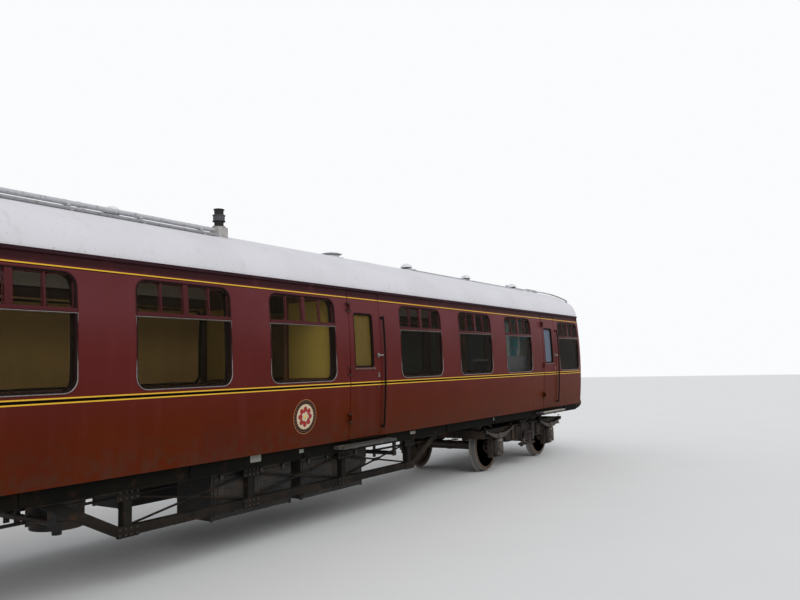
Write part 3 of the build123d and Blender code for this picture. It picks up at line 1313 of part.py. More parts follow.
def build_nodes():
    """Every node's name with the pieces in it."""
    nodes = {
        "underframe": build_underframe(),
        "solebars": build_solebars(),
        "headstocks": build_headstocks(),
        "body_bolsters": build_body_bolsters(),
        "truss_frames": build_truss_frames(),
        "battery_boxes": build_battery_boxes(),
        "brake_cylinders": build_brake_cylinders(),
        "step_boards": build_step_boards(),
        "buffers": build_buffers(),
        "couplers": build_couplers(),
        "floor": build_floor(),
        "side_walls": build_side_walls(),
        "gutters": build_gutters(),
        "roof_crown": build_roof_crown(),
        "roof_haunches": build_roof_haunches(),
        "roof_shoulders": build_roof_shoulders(),
        "end_walls": build_end_walls(),
        "window_frames": build_window_frames(),
        "window_glass": build_window_glass(),
        "window_blinds": build_window_blinds(),
        "hinge_lugs": build_hinge_lugs(),
        "grab_rails": build_grab_rails(),
        "gangway_bellows": build_gangway_bellows(),
        "gangway_faceplates": build_gangway_faceplates(),
        "roof_vents": build_roof_vents(),
        "roof_pipes": build_roof_pipes(),
        "chimney": build_chimney(),
        "partitions": build_partitions(),
        "bench_frames": build_bench_frames(),
        "bench_cushions": build_bench_cushions(),
        "kitchen_unit": build_kitchen_unit(),
        "end_steps": build_end_steps(),
    }
    leaf, glass = build_door_leaf(), build_door_glass()
    for name, x in DOORWAYS:
        for side, place in [("left", lambda shape: shape), ("right", turned)]:
            nodes[f"door_{name}_{side}"] = [Pos(x, 0, 0) * place(leaf)]
            nodes[f"door_{name}_{side}_glass"] = [Pos(x, 0, 0) * place(glass)]
    end_door = build_end_door()
    nodes["end_door_front"] = [end_door]
    nodes["end_door_rear"] = [turned(end_door)]
    frame, boxes, springs = build_bogie_frame(), build_axleboxes(), build_axle_springs()
    wheelset = build_wheelset()
    for name, x in [("front", BOGIE_X), ("rear", -BOGIE_X)]:
        nodes[f"bogie_{name}_frame"] = [Pos(x, 0, 0) * piece for piece in frame]
        nodes[f"bogie_{name}_axleboxes"] = [Pos(x, 0, 0) * piece for piece in boxes]
        nodes[f"bogie_{name}_springs"] = [Pos(x, 0, 0) * piece for piece in springs]
        for place, offset in [("outer", BOGIE_WHEELBASE / 2), ("inner", -BOGIE_WHEELBASE / 2)]:
            side = 1 if x > 0 else -1
            nodes[f"wheelset_{name}_{place}"] = [Pos(x + side * offset, 0, 0) * wheelset]
    return nodes


def write_nodes():
    """One STEP file for each node."""
    os.makedirs("parts", exist_ok=True)
    for name, pieces in build_nodes().items():
        solids = [solid for piece in pieces for solid in piece.solids()]
        export_step(Compound(children=solids), f"parts/{name}.step")
        print(name, len(solids))


write_nodes()
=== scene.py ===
"""The finished look of a bogie passenger coach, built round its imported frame. Lengths are metres."""
import math
from collections import namedtuple

import bmesh
import bpy
import numpy as np
from mathutils import Matrix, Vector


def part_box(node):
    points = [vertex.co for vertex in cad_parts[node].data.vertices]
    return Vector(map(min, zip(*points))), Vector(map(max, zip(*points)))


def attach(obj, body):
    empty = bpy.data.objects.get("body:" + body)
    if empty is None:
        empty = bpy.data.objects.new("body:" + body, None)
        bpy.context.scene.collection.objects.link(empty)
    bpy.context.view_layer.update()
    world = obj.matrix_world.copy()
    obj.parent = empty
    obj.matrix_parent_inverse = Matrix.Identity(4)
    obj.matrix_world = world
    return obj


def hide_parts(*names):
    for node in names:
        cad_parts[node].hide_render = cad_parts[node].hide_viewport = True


bl_info = {
    "name": "Passenger coach",
    "version": (1, 0, 0),
    "blender": (4, 5, 0),
    "location": "3D View > Sidebar > Coach",
    "description": "Paint, lining, windows, fittings, running gear and inside of a bogie coach",
    "category": "Add Mesh",
}

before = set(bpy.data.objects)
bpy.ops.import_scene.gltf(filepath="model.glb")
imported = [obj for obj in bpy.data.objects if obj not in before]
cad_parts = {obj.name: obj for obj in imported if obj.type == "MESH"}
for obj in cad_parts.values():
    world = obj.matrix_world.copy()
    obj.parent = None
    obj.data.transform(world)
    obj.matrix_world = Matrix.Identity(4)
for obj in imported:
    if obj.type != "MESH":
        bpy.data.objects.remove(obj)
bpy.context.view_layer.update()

# The body's own shape, read from the frame
BODY_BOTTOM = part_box("side_walls")[0].z
GUTTER_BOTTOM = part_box("side_walls")[1].z
GUTTER_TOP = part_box("gutters")[1].z
ROOF_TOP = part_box("roof_crown")[1].z
HALF_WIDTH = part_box("side_walls")[1].y
BODY_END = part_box("end_walls")[1].x
FLOOR_BOTTOM, FLOOR_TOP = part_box("floor")[0].z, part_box("floor")[1].z
SOLEBAR_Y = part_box("solebars")[1].y
SOLEBAR_LOW, SOLEBAR_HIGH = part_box("solebars")[0].z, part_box("solebars")[1].z
# The rest of its form: the side's arc, the crown's arc, the bow of the end wall and the wall's thickness
WIDEST = FLOOR_TOP + 0.793
SIDE_RADIUS = 8.438
CROWN_RADIUS = 2.1
CROWN_Z = ROOF_TOP - CROWN_RADIUS
END_BOW, END_FLAT = 0.06, 0.52
WALL = 0.09
NEAR, FAR = SIDES = -1, 1

# The side's openings: centres along the coach, then their sizes
WINDOW_XS = [9.0475, 6.3005, 4.4715, 2.6425, -0.1195, -1.9485, -3.7775, -5.6065, -7.4355]
DOOR_XS = {"front": 7.864, "middle": 1.152, "rear": -8.954}
WINDOW_WIDTH, SILL, WINDOW_TOP, WINDOW_CORNER = 1.219, 1.891, 2.965, 0.125
TRANSOM, TRANSOM_HEIGHT = 2.595, 0.042
DOORWAY, LEAF_HALF = 0.744, 0.364
LEAF_BOTTOM, LEAF_TOP = BODY_BOTTOM + 0.008, GUTTER_BOTTOM - 0.008
DOOR_GLASS = {"x": -0.039, "width": 0.442, "low": 2.05, "high": 2.802, "corner": 0.055}

# Bogies and wheels: the pivot, half the wheelbase, the axle's height, then the wheel and the side frame
BOGIE_X, HALF_BASE, AXLE_Z = 7.0865, 1.2955, 0.486
TREAD_RADIUS, FLANGE_RADIUS = 0.457, 0.486
FRAME_Y, FRAME_TOP, FRAME_LOW = 0.985, 0.83, 0.53

Shape = namedtuple("Shape", "points corners sizes")


class CoachFinish(bpy.types.PropertyGroup):
    """Colours and widths that a painter would change."""
    maroon: bpy.props.FloatVectorProperty(
        name="Maroon", description="Paint of the sides", default=(0.1, 0.016, 0.014), subtype="COLOR", min=0, max=1)
    roof_grey: bpy.props.FloatVectorProperty(
        name="Roof grey", description="Paint of the roof", default=(0.68, 0.67, 0.7), subtype="COLOR", min=0, max=1)
    gold: bpy.props.FloatVectorProperty(
        name="Gold", description="Lining paint", default=(0.74, 0.42, 0.03), subtype="COLOR", min=0, max=1)
    line_width: bpy.props.FloatProperty(
        name="Line width", description="Width of one gold line", default=0.013, unit="LENGTH", min=0.004, max=0.05)
    waist_height: bpy.props.FloatProperty(
        name="Waist line", description="Height of the middle of the waist lining", default=1.832, unit="LENGTH")
    waist_spread: bpy.props.FloatProperty(
        name="Waist spread", description="Between the two gold lines' middles", default=0.04, unit="LENGTH")
    cantrail_height: bpy.props.FloatProperty(
        name="Cantrail line", description="Height of the line over the windows", default=3.004, unit="LENGTH")
    badge_size: bpy.props.FloatProperty(
        name="Badge", description="Width of the rosette on the side", default=0.42, unit="LENGTH")


class CoachStage(bpy.types.PropertyGroup):
    """Where the viewer stands, and the light."""
    place: bpy.props.FloatVectorProperty(
        name="Place", description="Viewer's eye", default=(-6.9209, -7.2583, 2.0472), subtype="TRANSLATION")
    heading: bpy.props.FloatProperty(
        name="Heading", description="Turn from +X towards +Y", default=math.radians(33.329), unit="ROTATION")
    pitch: bpy.props.FloatProperty(
        name="Pitch", description="Tilt above the horizon", default=math.radians(5.318), unit="ROTATION")
    roll: bpy.props.FloatProperty(
        name="Roll", description="Turn about the line of sight", default=math.radians(-1.453), unit="ROTATION")
    lens: bpy.props.FloatProperty(
        name="Lens", description="Focal length on a sensor 36 mm wide", default=32.4, min=10, max=200)
    sky: bpy.props.FloatProperty(name="Sky", description="Strength of the light from all round", default=0.72, min=0)
    sun: bpy.props.FloatProperty(name="Sun", description="Strength of the soft lamp", default=1.0, min=0)


def side_y(z):
    """Half width at height z: an arc of one radius about a centre at the widest height."""
    return HALF_WIDTH - SIDE_RADIUS + np.sqrt(SIDE_RADIUS**2 - (z - WIDEST) ** 2)


def roof_z(y):
    """Height of the roof at a distance y from the middle: an arc about the coach's centre line."""
    return CROWN_Z + np.sqrt(CROWN_RADIUS**2 - np.square(y))


def bow_x(y):
    """Distance along the coach of the end panel at a distance y from the middle: flat, then slanted back."""
    return BODY_END - END_BOW * np.maximum(np.abs(y) - END_FLAT, 0) / (HALF_WIDTH - END_FLAT)


def on_side(shape, side=NEAR):
    """Wrap a flat shape on the body's side. Its x stays, its y becomes the distance out along the side's
    normal, and its z is the height at which that normal stands."""
    x, out, z = shape.points.T
    lean = np.arcsin((z - WIDEST) / SIDE_RADIUS)
    reach = SIDE_RADIUS + out
    y = HALF_WIDTH - SIDE_RADIUS + reach * np.cos(lean)
    return shape._replace(points=np.stack([x, side * y, WIDEST + reach * np.sin(lean)], 1))


def on_sides(*shapes):
    """The flat shapes wrapped on both of the body's sides."""
    return join(*[on_side(join(*shapes), side) for side in SIDES])


def on_roof(shape):
    """Wrap a flat shape on the roof's crown: y turns about the centre line and z is the height above it."""
    x, across, out = shape.points.T
    turn, reach = across / CROWN_RADIUS, CROWN_RADIUS + out
    z = CROWN_Z + reach * np.cos(turn)
    return shape._replace(points=np.stack([x, reach * np.sin(turn), z], 1))


def grid(points, wrap_u=False, wrap_v=False, caps=False):
    """Faces between the rows and columns of an array of points, closed along u or v where asked, and with
    a face across the first and last row where caps are asked."""
    rows, columns = points.shape[:2]
    index = np.arange(rows * columns).reshape(rows, columns)
    if wrap_u:
        index = np.vstack([index, index[:1]])
    if wrap_v:
        index = np.hstack([index, index[:, :1]])
    quads = np.stack([index[:-1, :-1], index[1:, :-1], index[1:, 1:], index[:-1, 1:]], -1)
    corners, sizes = quads.ravel(), np.full(quads.size // 4, 4)
    if caps:
        corners = np.concatenate([corners, np.arange(columns)[::-1], rows * columns - columns + np.arange(columns)])
        sizes = np.concatenate([sizes, [columns, columns]])
    return Shape(points.reshape(-1, 3), corners, sizes)


def join(*shapes):
    """One shape of several, each one's faces counted on from the last one's points."""
    starts = np.cumsum([0] + [len(shape.points) for shape in shapes])
    return Shape(
        np.concatenate([shape.points for shape in shapes]),
        np.concatenate([shape.corners + start for shape, start in zip(shapes, starts)]),
        np.concatenate([shape.sizes for shape in shapes]),
    )


def copies(shape, places):
    """The shape repeated at a list of offsets."""
    places = np.asarray(places, float).reshape(-1, 3)
    starts = np.arange(len(places)) * len(shape.points)
    return Shape(
        (shape.points[None] + places[:, None]).reshape(-1, 3),
        (shape.corners[None] + starts[:, None]).ravel(),
        np.tile(shape.sizes, len(places)),
    )


def moved(shape, x=0.0, y=0.0, z=0.0):
    """The shape carried along by a distance on each axis."""
    return shape._replace(points=shape.points + np.array([x, y, z]))


def flipped(shape, *axes):
    """The shape mirrored in the planes across the axes that are named by number."""
    sign = np.ones(3)
    sign[list(axes)] = -1
    return shape._replace(points=shape.points * sign)


def turned(shape, axis, angle):
    """The shape turned about one of the row's axes through the origin."""
    c, s = math.cos(angle), math.sin(angle)
    a, b = [(1, 2), (2, 0), (0, 1)][axis]
    points = shape.points.copy()
    points[:, a] = c * shape.points[:, a] - s * shape.points[:, b]
    points[:, b] = s * shape.points[:, a] + c * shape.points[:, b]
    return shape._replace(points=points)


def both(*shapes):
    """The shapes and their mirror images on the coach's other side."""
    return join(*shapes, flipped(join(*shapes), 1))


def ends(*shapes):
    """The shapes and their half turn about the coach's middle."""
    return join(*shapes, flipped(join(*shapes), 0, 1))


def turns(count):
    """Even angles of one whole turn."""
    return np.linspace(0, 2 * np.pi, count, endpoint=False)


def around(radius, count, centre, axis=2, start=0.0):
    """Places on a circle about a centre, in the plane across one axis."""
    angle = turns(count) + start
    places = np.tile(np.asarray(centre, float), (count, 1))
    first, second = [i for i in range(3) if i != axis]
    places[:, first] += radius * np.cos(angle)
    places[:, second] += radius * np.sin(angle)
    return places


def tube(path, radius, sides=10, closed=False):
    """Round bar along a path: a circle in the plane across the path at each point, whose first spoke is the
    last point's spoke laid into the new plane. The radius may change along the path."""
    path = np.asarray(path, float)
    ahead = np.roll(path, -1, 0) - path
    behind = path - np.roll(path, 1, 0)
    if not closed:
        ahead[-1], behind[0] = behind[-1], ahead[0]
    way = ahead / np.linalg.norm(ahead, axis=1)[:, None] + behind / np.linalg.norm(behind, axis=1)[:, None]
    way /= np.linalg.norm(way, axis=1)[:, None]
    spoke = np.cross(way[0], [0.31, 0.17, 0.93])
    spokes = []
    for direction in way:
        spoke = spoke - direction * (spoke @ direction)
        spoke = spoke / np.linalg.norm(spoke)
        spokes.append(spoke)
    spokes = np.array(spokes)[:, None]
    angle = turns(sides)[None, :, None]
    wide = np.broadcast_to(np.asarray(radius, float), (len(path),))[:, None, None]
    rings = path[:, None] + wide * (np.cos(angle) * spokes + np.sin(angle) * np.cross(way[:, None], spokes))
    return grid(rings, wrap_u=closed, wrap_v=True, caps=not closed)


def bent(*corners, bend=0.05, steps=5):
    """Path through corners, each rounded by a curve that starts and ends bend away from it: its point at
    share t is (1-t)^2 of the start, 2t(1-t) of the corner and t^2 of the end."""
    corners = np.asarray(corners, float)
    share = np.linspace(0, 1, steps)[:, None]
    rows = [corners[:1]]
    for before, corner, after in zip(corners[:-2], corners[1:-1], corners[2:]):
        back, on = before - corner, after - corner
        start = corner + back * min(bend / np.linalg.norm(back), 0.45)
        end = corner + on * min(bend / np.linalg.norm(on), 0.45)
        rows.append((1 - share) ** 2 * start + 2 * share * (1 - share) * corner + share**2 * end)
    return np.concatenate(rows + [corners[-1:]])


def mm(*rows):
    """Rows of a section, given in millimetres."""
    return np.array(rows) / 1000


def lathe(profile, sides=24, axis=2, at=(0, 0, 0)):
    """Turned piece: (radius, height) rows swept round an axis through the origin, then carried to a place."""
    radius, height = np.asarray(profile, float).T[:, :, None]
    angle = turns(sides)[None]
    ring = [radius * np.cos(angle), radius * np.sin(angle), np.broadcast_to(height, (len(radius), sides))]
    order = {0: (2, 0, 1), 1: (0, 2, 1), 2: (0, 1, 2)}[axis]
    return moved(grid(np.stack([ring[i] for i in order], -1), wrap_v=True, caps=True), *at)


def collar(inner, outer, half, lip, sides, axis=2, at=(0, 0, 0)):
    """Ring round a bar: it reaches half to each side of its middle, and is at its full radius as far as lip."""
    return lathe([(inner, -half), (outer, -lip), (outer, lip), (inner, half)], sides, axis, at)


def rounded(width, height, corner, per_corner=6, step=10.0):
    """Outline of a rounded rectangle about the origin and the outward normal at each of its points. Straight
    runs longer than step are divided, so that the outline can follow a curved face."""
    rows, normals = [], []
    half = np.array([width / 2 - corner, height / 2 - corner])
    signs = [(1, 1), (-1, 1), (-1, -1), (1, -1)]
    for quarter in range(4):
        angles = (quarter + np.linspace(0, 1, per_corner)) * np.pi / 2
        spokes = np.stack([np.cos(angles), np.sin(angles)], 1)
        arc = half * signs[quarter] + corner * spokes
        after = half * signs[(quarter + 1) % 4] + corner * spokes[-1]
        count = int(np.linalg.norm(after - arc[-1]) / step)
        share = np.arange(1, count + 1)[:, None] / (count + 1)
        rows += [arc, arc[-1] + share * (after - arc[-1])]
        normals += [spokes, np.broadcast_to(spokes[-1], (count, 2))]
    return np.concatenate(rows), np.concatenate(normals)


def circle(radius, sides=24):
    """Outline of a circle and its outward normals."""
    angle = turns(sides)
    normals = np.stack([np.cos(angle), np.sin(angle)], 1)
    return radius * normals, normals


def moulding(outline, section, x=0.0, z=0.0):
    """Strip carried round an outline. Each row of the section is a distance out from the outline in its own
    plane and a height above that plane. The plane is x and z, and the height is y."""
    points, normals = outline
    section = np.asarray(section, float)
    flat = points[:, None] + normals[:, None] * section[None, :, :1]
    height = np.broadcast_to(section[None, :, 1], flat.shape[:2])
    return grid(np.stack([flat[..., 0] + x, height, flat[..., 1] + z], -1), wrap_u=True, wrap_v=True)


def plate(outline, low, high, edge=0.0, x=0.0, z=0.0, steps=3):
    """Flat plate with rounded upper edges: the outline at the bottom, drawn in along a quarter round of
    radius edge as it comes up to the top. Plane and height are as in a moulding."""
    points, normals = outline
    turn = np.linspace(0, np.pi / 2, steps if edge else 1)
    inset = np.concatenate([[0], edge * (1 - np.cos(turn))])
    level = np.concatenate([[low], high - edge + edge * np.sin(turn)])
    flat = points[None] - normals[None] * inset[:, None, None]
    height = np.broadcast_to(level[:, None], flat.shape[:2])
    return grid(np.stack([flat[..., 0] + x, height, flat[..., 1] + z], -1), wrap_v=True, caps=True)


def slab(low, high, edge=0.004, corner=None, axis=2, step=10.0):
    """Block between two corners: an outline across one axis, with its corners rounded, carried along that
    axis and drawn in by a quarter round of radius edge at both faces."""
    low, high = np.asarray(low, float), np.asarray(high, float)
    a, b = [i for i in range(3) if i != axis]
    size = high - low
    corner = max(min(edge if corner is None else corner, 0.49 * size[a], 0.49 * size[b]), 1e-4)
    outline, normals = rounded(size[a], size[b], corner, per_corner=4, step=step)
    edge = min(edge, 0.45 * size[axis], 0.9 * corner)
    turn = np.linspace(0, np.pi / 2, 3)
    inset = np.concatenate([edge * (1 - np.cos(turn))[::-1], edge * (1 - np.cos(turn))])
    level = size[axis] / 2 - edge + edge * np.sin(turn)
    flat = outline[None] - normals[None] * inset[:, None, None]
    rings = np.zeros(flat.shape[:2] + (3,))
    rings[..., a], rings[..., b] = flat[..., 0], flat[..., 1]
    rings[..., axis] = np.concatenate([-level[::-1], level])[:, None]
    return moved(grid(rings, wrap_v=True, caps=True), *((low + high) / 2))


def bolt(size=0.012, height=0.008, axis=2):
    """Hexagon head with a chamfered top, standing on the plane through the origin."""
    return lathe([(size, 0), (size, height * 0.8), (size * 0.8, height)], sides=6, axis=axis)


def rivet(size=0.009, height=0.005, axis=2):
    """Snap head: rings that draw in towards the top."""
    return lathe([(size, 0), (size * 0.8, height * 0.7), (size * 0.35, height)], sides=8, axis=axis)


def row(xs, y=0.0, z=0.0):
    """Offsets along X at one y and z."""
    xs = np.asarray(xs, float)
    return np.stack([xs, np.full_like(xs, y), np.full_like(xs, z)], 1)


def every(parts, change, *values):
    """The (shape, finish) parts with each shape changed by a function."""
    return [(change(shape, *values), finish) for shape, finish in parts]


def make_piece(name, parts, body="coach", sharp=35):
    """Mesh object of several (shape, finish) parts, welded, with its faces turned outwards."""
    mesh = bpy.data.meshes.new(name)
    whole = join(*[shape for shape, finish in parts])
    mesh.vertices.add(len(whole.points))
    mesh.vertices.foreach_set("co", whole.points.astype(np.float32).ravel())
    mesh.loops.add(len(whole.corners))
    mesh.loops.foreach_set("vertex_index", whole.corners.astype(np.int32))
    mesh.polygons.add(len(whole.sizes))
    mesh.polygons.foreach_set("loop_start", (np.cumsum(whole.sizes) - whole.sizes).astype(np.int32))
    finishes = list(dict.fromkeys(finish for shape, finish in parts))
    index = [np.full(len(shape.sizes), finishes.index(finish)) for shape, finish in parts]
    mesh.polygons.foreach_set("material_index", np.concatenate(index).astype(np.int32))
    mesh.update(calc_edges=True)
    for finish in finishes:
        mesh.materials.append(bpy.data.materials[finish])
    shell = bmesh.new()
    shell.from_mesh(mesh)
    bmesh.ops.remove_doubles(shell, verts=shell.verts, dist=1e-5)
    bmesh.ops.recalc_face_normals(shell, faces=shell.faces)
    shell.to_mesh(mesh)
    shell.free()
    mesh.shade_smooth()
    mesh.set_sharp_from_angle(angle=math.radians(sharp))
    piece = bpy.data.objects.new(name, mesh)
    bpy.context.scene.collection.objects.link(piece)
    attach(piece, body)
    return piece


class Finish:
    """A material whose colour, roughness and height gather layers, each laid on through a mask. Masks are
    worked out from the piece's own place in metres."""

    def __init__(self, name, colour, roughness, metallic=0.0, specular=0.5, **more):
        self.material = bpy.data.materials.new(name)
        self.material.use_nodes = True
        self.nodes = self.material.node_tree.nodes
        self.links = self.material.node_tree.links
        self.shader = self.nodes["Principled BSDF"]
        self.shader.inputs["Metallic"].default_value = metallic
        self.shader.inputs["Specular IOR Level"].default_value = specular
        for socket, value in more.items():
            self.shader.inputs[socket.replace("_", " ").title()].default_value = value
        self.place = self.nodes.new("ShaderNodeTexCoord").outputs["Object"]
        self.colour, self.roughness, self.height = (*colour, 1.0), roughness, None

    def join_to(self, socket, value):
        """Put a number, a colour or another node's output into a socket."""
        if isinstance(value, bpy.types.NodeSocket):
            self.links.new(value, socket)
        else:
            socket.default_value = value

    def add(self, kind, inputs, **settings):
        """Outputs of a new node that has the settings and the inputs given."""
        node = self.nodes.new("ShaderNode" + kind)
        for name, value in settings.items():
            setattr(node, name, value)
        for socket, value in inputs.items():
            self.join_to(node.inputs[socket], value)
        return node.outputs

    def calc(self, operation, first, second=0.0):
        """One step of arithmetic on masks or heights."""
        return self.add("Math", {0: first, 1: second}, operation=operation)[0]

    def ramp(self, value, low, high):
        """Mask that climbs smoothly from 0 at low to 1 at high, or falls where low is above high."""
        limits = {"From Min": min(low, high), "From Max": max(low, high)}
        shares = {"To Min": float(low > high), "To Max": float(low < high)}
        return self.add("MapRange", {"Value": value, **limits, **shares}, interpolation_type="SMOOTHSTEP")[0]

    def axis(self, number):
        """Distance along one of the row's axes."""
        return self.add("SeparateXYZ", {0: self.place})[number]

    def stretched(self, stretch, centre=(0, 0, 0)):
        """The place, counted from a centre and scaled on each axis."""
        offset = [-c * s for c, s in zip(centre, stretch)]
        return self.add("Mapping", {"Location": offset, "Scale": stretch, "Vector": self.place}, vector_type="POINT")[0]

    def noise(self, scale, low=0.4, high=0.6, detail=4.0, stretch=(1, 1, 1)):
        """Cloudy mask with patches one over scale metres wide."""
        cloud = self.add("TexNoise", {"Scale": scale, "Detail": detail, "Vector": self.stretched(stretch)})
        return self.ramp(cloud["Fac"], low, high)

    def specks(self, scale, size):
        """Dots in random places, about one over scale metres apart. Each reaches size times that from its middle."""
        cells = self.add("TexVoronoi", {"Scale": scale, "Vector": self.place})
        return self.ramp(cells["Distance"], size, size * 0.5)

    def waves(self, scale, axis="X"):
        """Even ridges across one axis or the diagonal, closer together where scale is larger."""
        return self.add("TexWave", {"Scale": scale, "Vector": self.place}, bands_direction=axis)["Fac"]

    def radius(self, centre, stretch=(1, 1, 1)):
        """Distance from a centre, with an axis left out where its stretch is 0."""
        return self.add("VectorMath", {0: self.stretched(stretch, centre)}, operation="LENGTH")["Value"]

    def where(self, first, *masks):
        """Where all of several masks hold."""
        for mask in masks:
            first = self.calc("MULTIPLY", first, mask)
        return first

    def lay(self, mask, colour=None, strength=1.0, roughness=None):
        """Lay a colour and a roughness over what is there, through a mask."""
        share = self.calc("MULTIPLY", mask, strength) if strength != 1.0 else mask
        if colour is not None:
            self.colour = self.add("Mix", {0: share, 6: self.colour, 7: (*colour, 1.0)}, data_type="RGBA")[2]
        if roughness is not None:
            self.roughness = self.add("Mix", {0: share, 2: self.roughness, 3: roughness})[0]
        return self

    def lift(self, mask, depth):
        """Raise the surface by a depth in metres where the mask is full."""
        lifted = self.calc("MULTIPLY", mask, depth)
        self.height = lifted if self.height is None else self.calc("ADD", self.height, lifted)
        return self

    def done(self):
        """Put the layers into the shader."""
        self.join_to(self.shader.inputs["Base Color"], self.colour)
        self.join_to(self.shader.inputs["Roughness"], self.roughness)
        if self.height is not None:
            bump = self.add("Bump", {"Strength": 1.0, "Distance": 1.0, "Height": self.height})
            self.links.new(bump[0], self.shader.inputs["Normal"])
        return self.material


def shade(colour, factor, extra=0.0):
    """A colour made darker or paler by a factor, with a little grey added."""
    return [factor * part + extra for part in colour]


def outside(finish):
    """Mask of the body's outer faces: points further from the side arcs' centre lines than the wall's middle."""
    across = finish.calc("ADD", finish.calc("ABSOLUTE", finish.axis(1)), SIDE_RADIUS - HALF_WIDTH)
    up = finish.calc("SUBTRACT", finish.axis(2), WIDEST)
    squares = [finish.calc("POWER", part, 2.0) for part in (across, finish.calc("ABSOLUTE", up))]
    out = finish.calc("SQRT", finish.calc("ADD", *squares))
    return finish.ramp(out, SIDE_RADIUS - 0.06, SIDE_RADIUS - 0.05)


def outside_roof(finish):
    """Mask of the roof's outer face: points further from the crown's centre line than the roof's middle."""
    out = finish.radius((0, 0, CROWN_Z), (0, 1, 1))
    return finish.ramp(finish.calc("MAXIMUM", out, finish.calc("ADD", outside(finish), CROWN_RADIUS - 1)),
                       CROWN_RADIUS - 0.07, CROWN_RADIUS - 0.06)


def maroon_paint(name, colour, inside=None):
    """Gloss paint gone dull: browner below the windows and pinker above them as painted reflections of the ground and
    the sky, rain streaks, dust, a painted shadow with grime under the gutter, and orange peel.
    """
    finish = Finish(name, colour, 0.33, specular=0.03)
    dark, pale = shade(colour, 0.66), shade(colour, 1.2, 0.006)
    # Painted reflections: browner below the windows for the ground, pinker above them for the sky
    finish.lay(finish.ramp(finish.axis(2), 2.05, 1.45), [0.92 * colour[0], 0.85 * colour[1], 0.1 * colour[2]], 0.95)
    finish.lay(finish.ramp(finish.axis(2), 2.1, 2.9), [1.3 * colour[0], 2.2 * colour[1], 2.9 * colour[2]], 0.9)
    finish.lay(finish.noise(1.3, 0.35, 0.75), dark, 0.35)
    finish.lay(finish.noise(2.4, 0.5, 0.8, stretch=(3.0, 3.0, 0.35)), pale, 0.28, 0.46)
    finish.lay(finish.noise(38, 0.56, 0.75, detail=6), pale, 0.16, 0.5)
    dust = finish.where(finish.ramp(finish.axis(2), 1.62, 1.08), finish.noise(9, 0.3, 0.75, detail=6))
    finish.lay(dust, (0.055, 0.03, 0.018), 0.6, 0.62)
    # Painted shadow under the gutter, broken up by grime: a dark band just below it
    shadow_and_grime = finish.where(finish.ramp(finish.axis(2), 2.99, 3.05), finish.noise(4, 0.1, 0.45, detail=6))
    finish.lay(shadow_and_grime, (0.02, 0.008, 0.009), 0.85, 0.5)
    finish.lay(finish.specks(26, 0.09), (0.03, 0.012, 0.01), 0.5, 0.6)
    finish.lift(finish.noise(2.2, 0.3, 0.7, stretch=(1, 1, 0.6)), 0.0007)
    finish.lift(finish.noise(420, 0.3, 0.7, detail=2), 0.00003)
    if inside:
        finish.lay(finish.calc("SUBTRACT", 1.0, outside(finish)), inside, 1.0, 0.5)
    return finish.done()


def roof_paint(name, colour):
    """Chalky grey with soot, specks of dirt and streaks that run down towards the gutters; cream within."""
    finish = Finish(name, colour, 0.72, specular=0.25)
    finish.lay(finish.noise(1.1, 0.35, 0.8), shade(colour, 0.8), 0.4)
    finish.lay(finish.noise(5, 0.56, 0.8, detail=7, stretch=(2, 0.7, 1)), (0.34, 0.33, 0.33), 0.2, 0.8)
    finish.lay(finish.specks(17, 0.09), (0.1, 0.09, 0.085), 0.7)
    finish.lay(finish.specks(41, 0.11), (0.2, 0.19, 0.18), 0.5)
    finish.lift(finish.noise(3, 0.3, 0.7), 0.0012).lift(finish.noise(60, 0.4, 0.7, detail=5), 0.0002)
    finish.lay(finish.calc("SUBTRACT", 1.0, outside_roof(finish)), (0.5, 0.46, 0.36), 1.0, 0.5)
    return finish.done()


def grimy_paint(name, colour, dirt, roughness, rust=0.3, scale=1.0, specular=0.22):
    """Dark paint of a frame or an end: brown dust in patches, rusty chips, oily darker runs, rough bump."""
    finish = Finish(name, colour, roughness, specular=specular)
    finish.lay(finish.noise(2.2 * scale, 0.38, 0.72, detail=6), dirt, 0.65, min(0.95, roughness + 0.25))
    finish.lay(finish.noise(7 * scale, 0.56, 0.78, detail=7), (0.13, 0.05, 0.022), rust, 0.92)
    finish.lay(finish.noise(3.4 * scale, 0.55, 0.75, stretch=(2.5, 2.5, 0.3)), shade(colour, 0.5), 0.7,
               max(0.2, roughness - 0.15))
    finish.lay(finish.specks(40 * scale, 0.12), dirt, 0.7)
    finish.lift(finish.noise(24 * scale, 0.35, 0.7, detail=6), 0.0006)
    finish.lift(finish.noise(160 * scale, 0.35, 0.7), 0.00015)
    return finish.done()


def cast_finish(name, colour, roughness, metallic=0.0, rust=0.35):
    """Rough casting with a sandy skin, brake dust and rust in its hollows."""
    finish = Finish(name, colour, roughness, metallic=metallic)
    finish.lay(finish.noise(6, 0.4, 0.7, detail=6), (0.075, 0.045, 0.028), 0.55, 0.85)
    finish.lay(finish.noise(19, 0.56, 0.74, detail=7), (0.17, 0.062, 0.025), rust, 0.95)
    finish.lift(finish.noise(90, 0.3, 0.7, detail=3), 0.0005).lift(finish.specks(130, 0.3), 0.0002)
    return finish.done()


def wheel_finish(name, x):
    """Wheel and axle: bright rubbed tread, brown rim and web, dark oily hub, sorted by distance from the axle."""
    finish = Finish(name, (0.07, 0.05, 0.036), 0.8)
    out = finish.radius((x, 0, AXLE_Z), (1, 0, 1))
    finish.lay(finish.noise(12, 0.4, 0.7, detail=6), (0.14, 0.065, 0.032), 0.6, 0.9)
    finish.lay(finish.where(finish.ramp(out, 0.2, 0.13), finish.noise(9, 0.3, 0.6)), (0.02, 0.016, 0.013), 0.8, 0.35)
    finish.lay(finish.ramp(out, TREAD_RADIUS - 0.012, TREAD_RADIUS - 0.006), (0.17, 0.16, 0.15), 0.85, 0.42)
    finish.lay(finish.where(finish.ramp(out, FLANGE_RADIUS - 0.012, FLANGE_RADIUS - 0.002), finish.noise(30, 0.4, 0.6)),
               (0.2, 0.17, 0.15), 0.7, 0.5)
    finish.lift(finish.noise(45, 0.3, 0.7, detail=5), 0.0004)
    return finish.done()


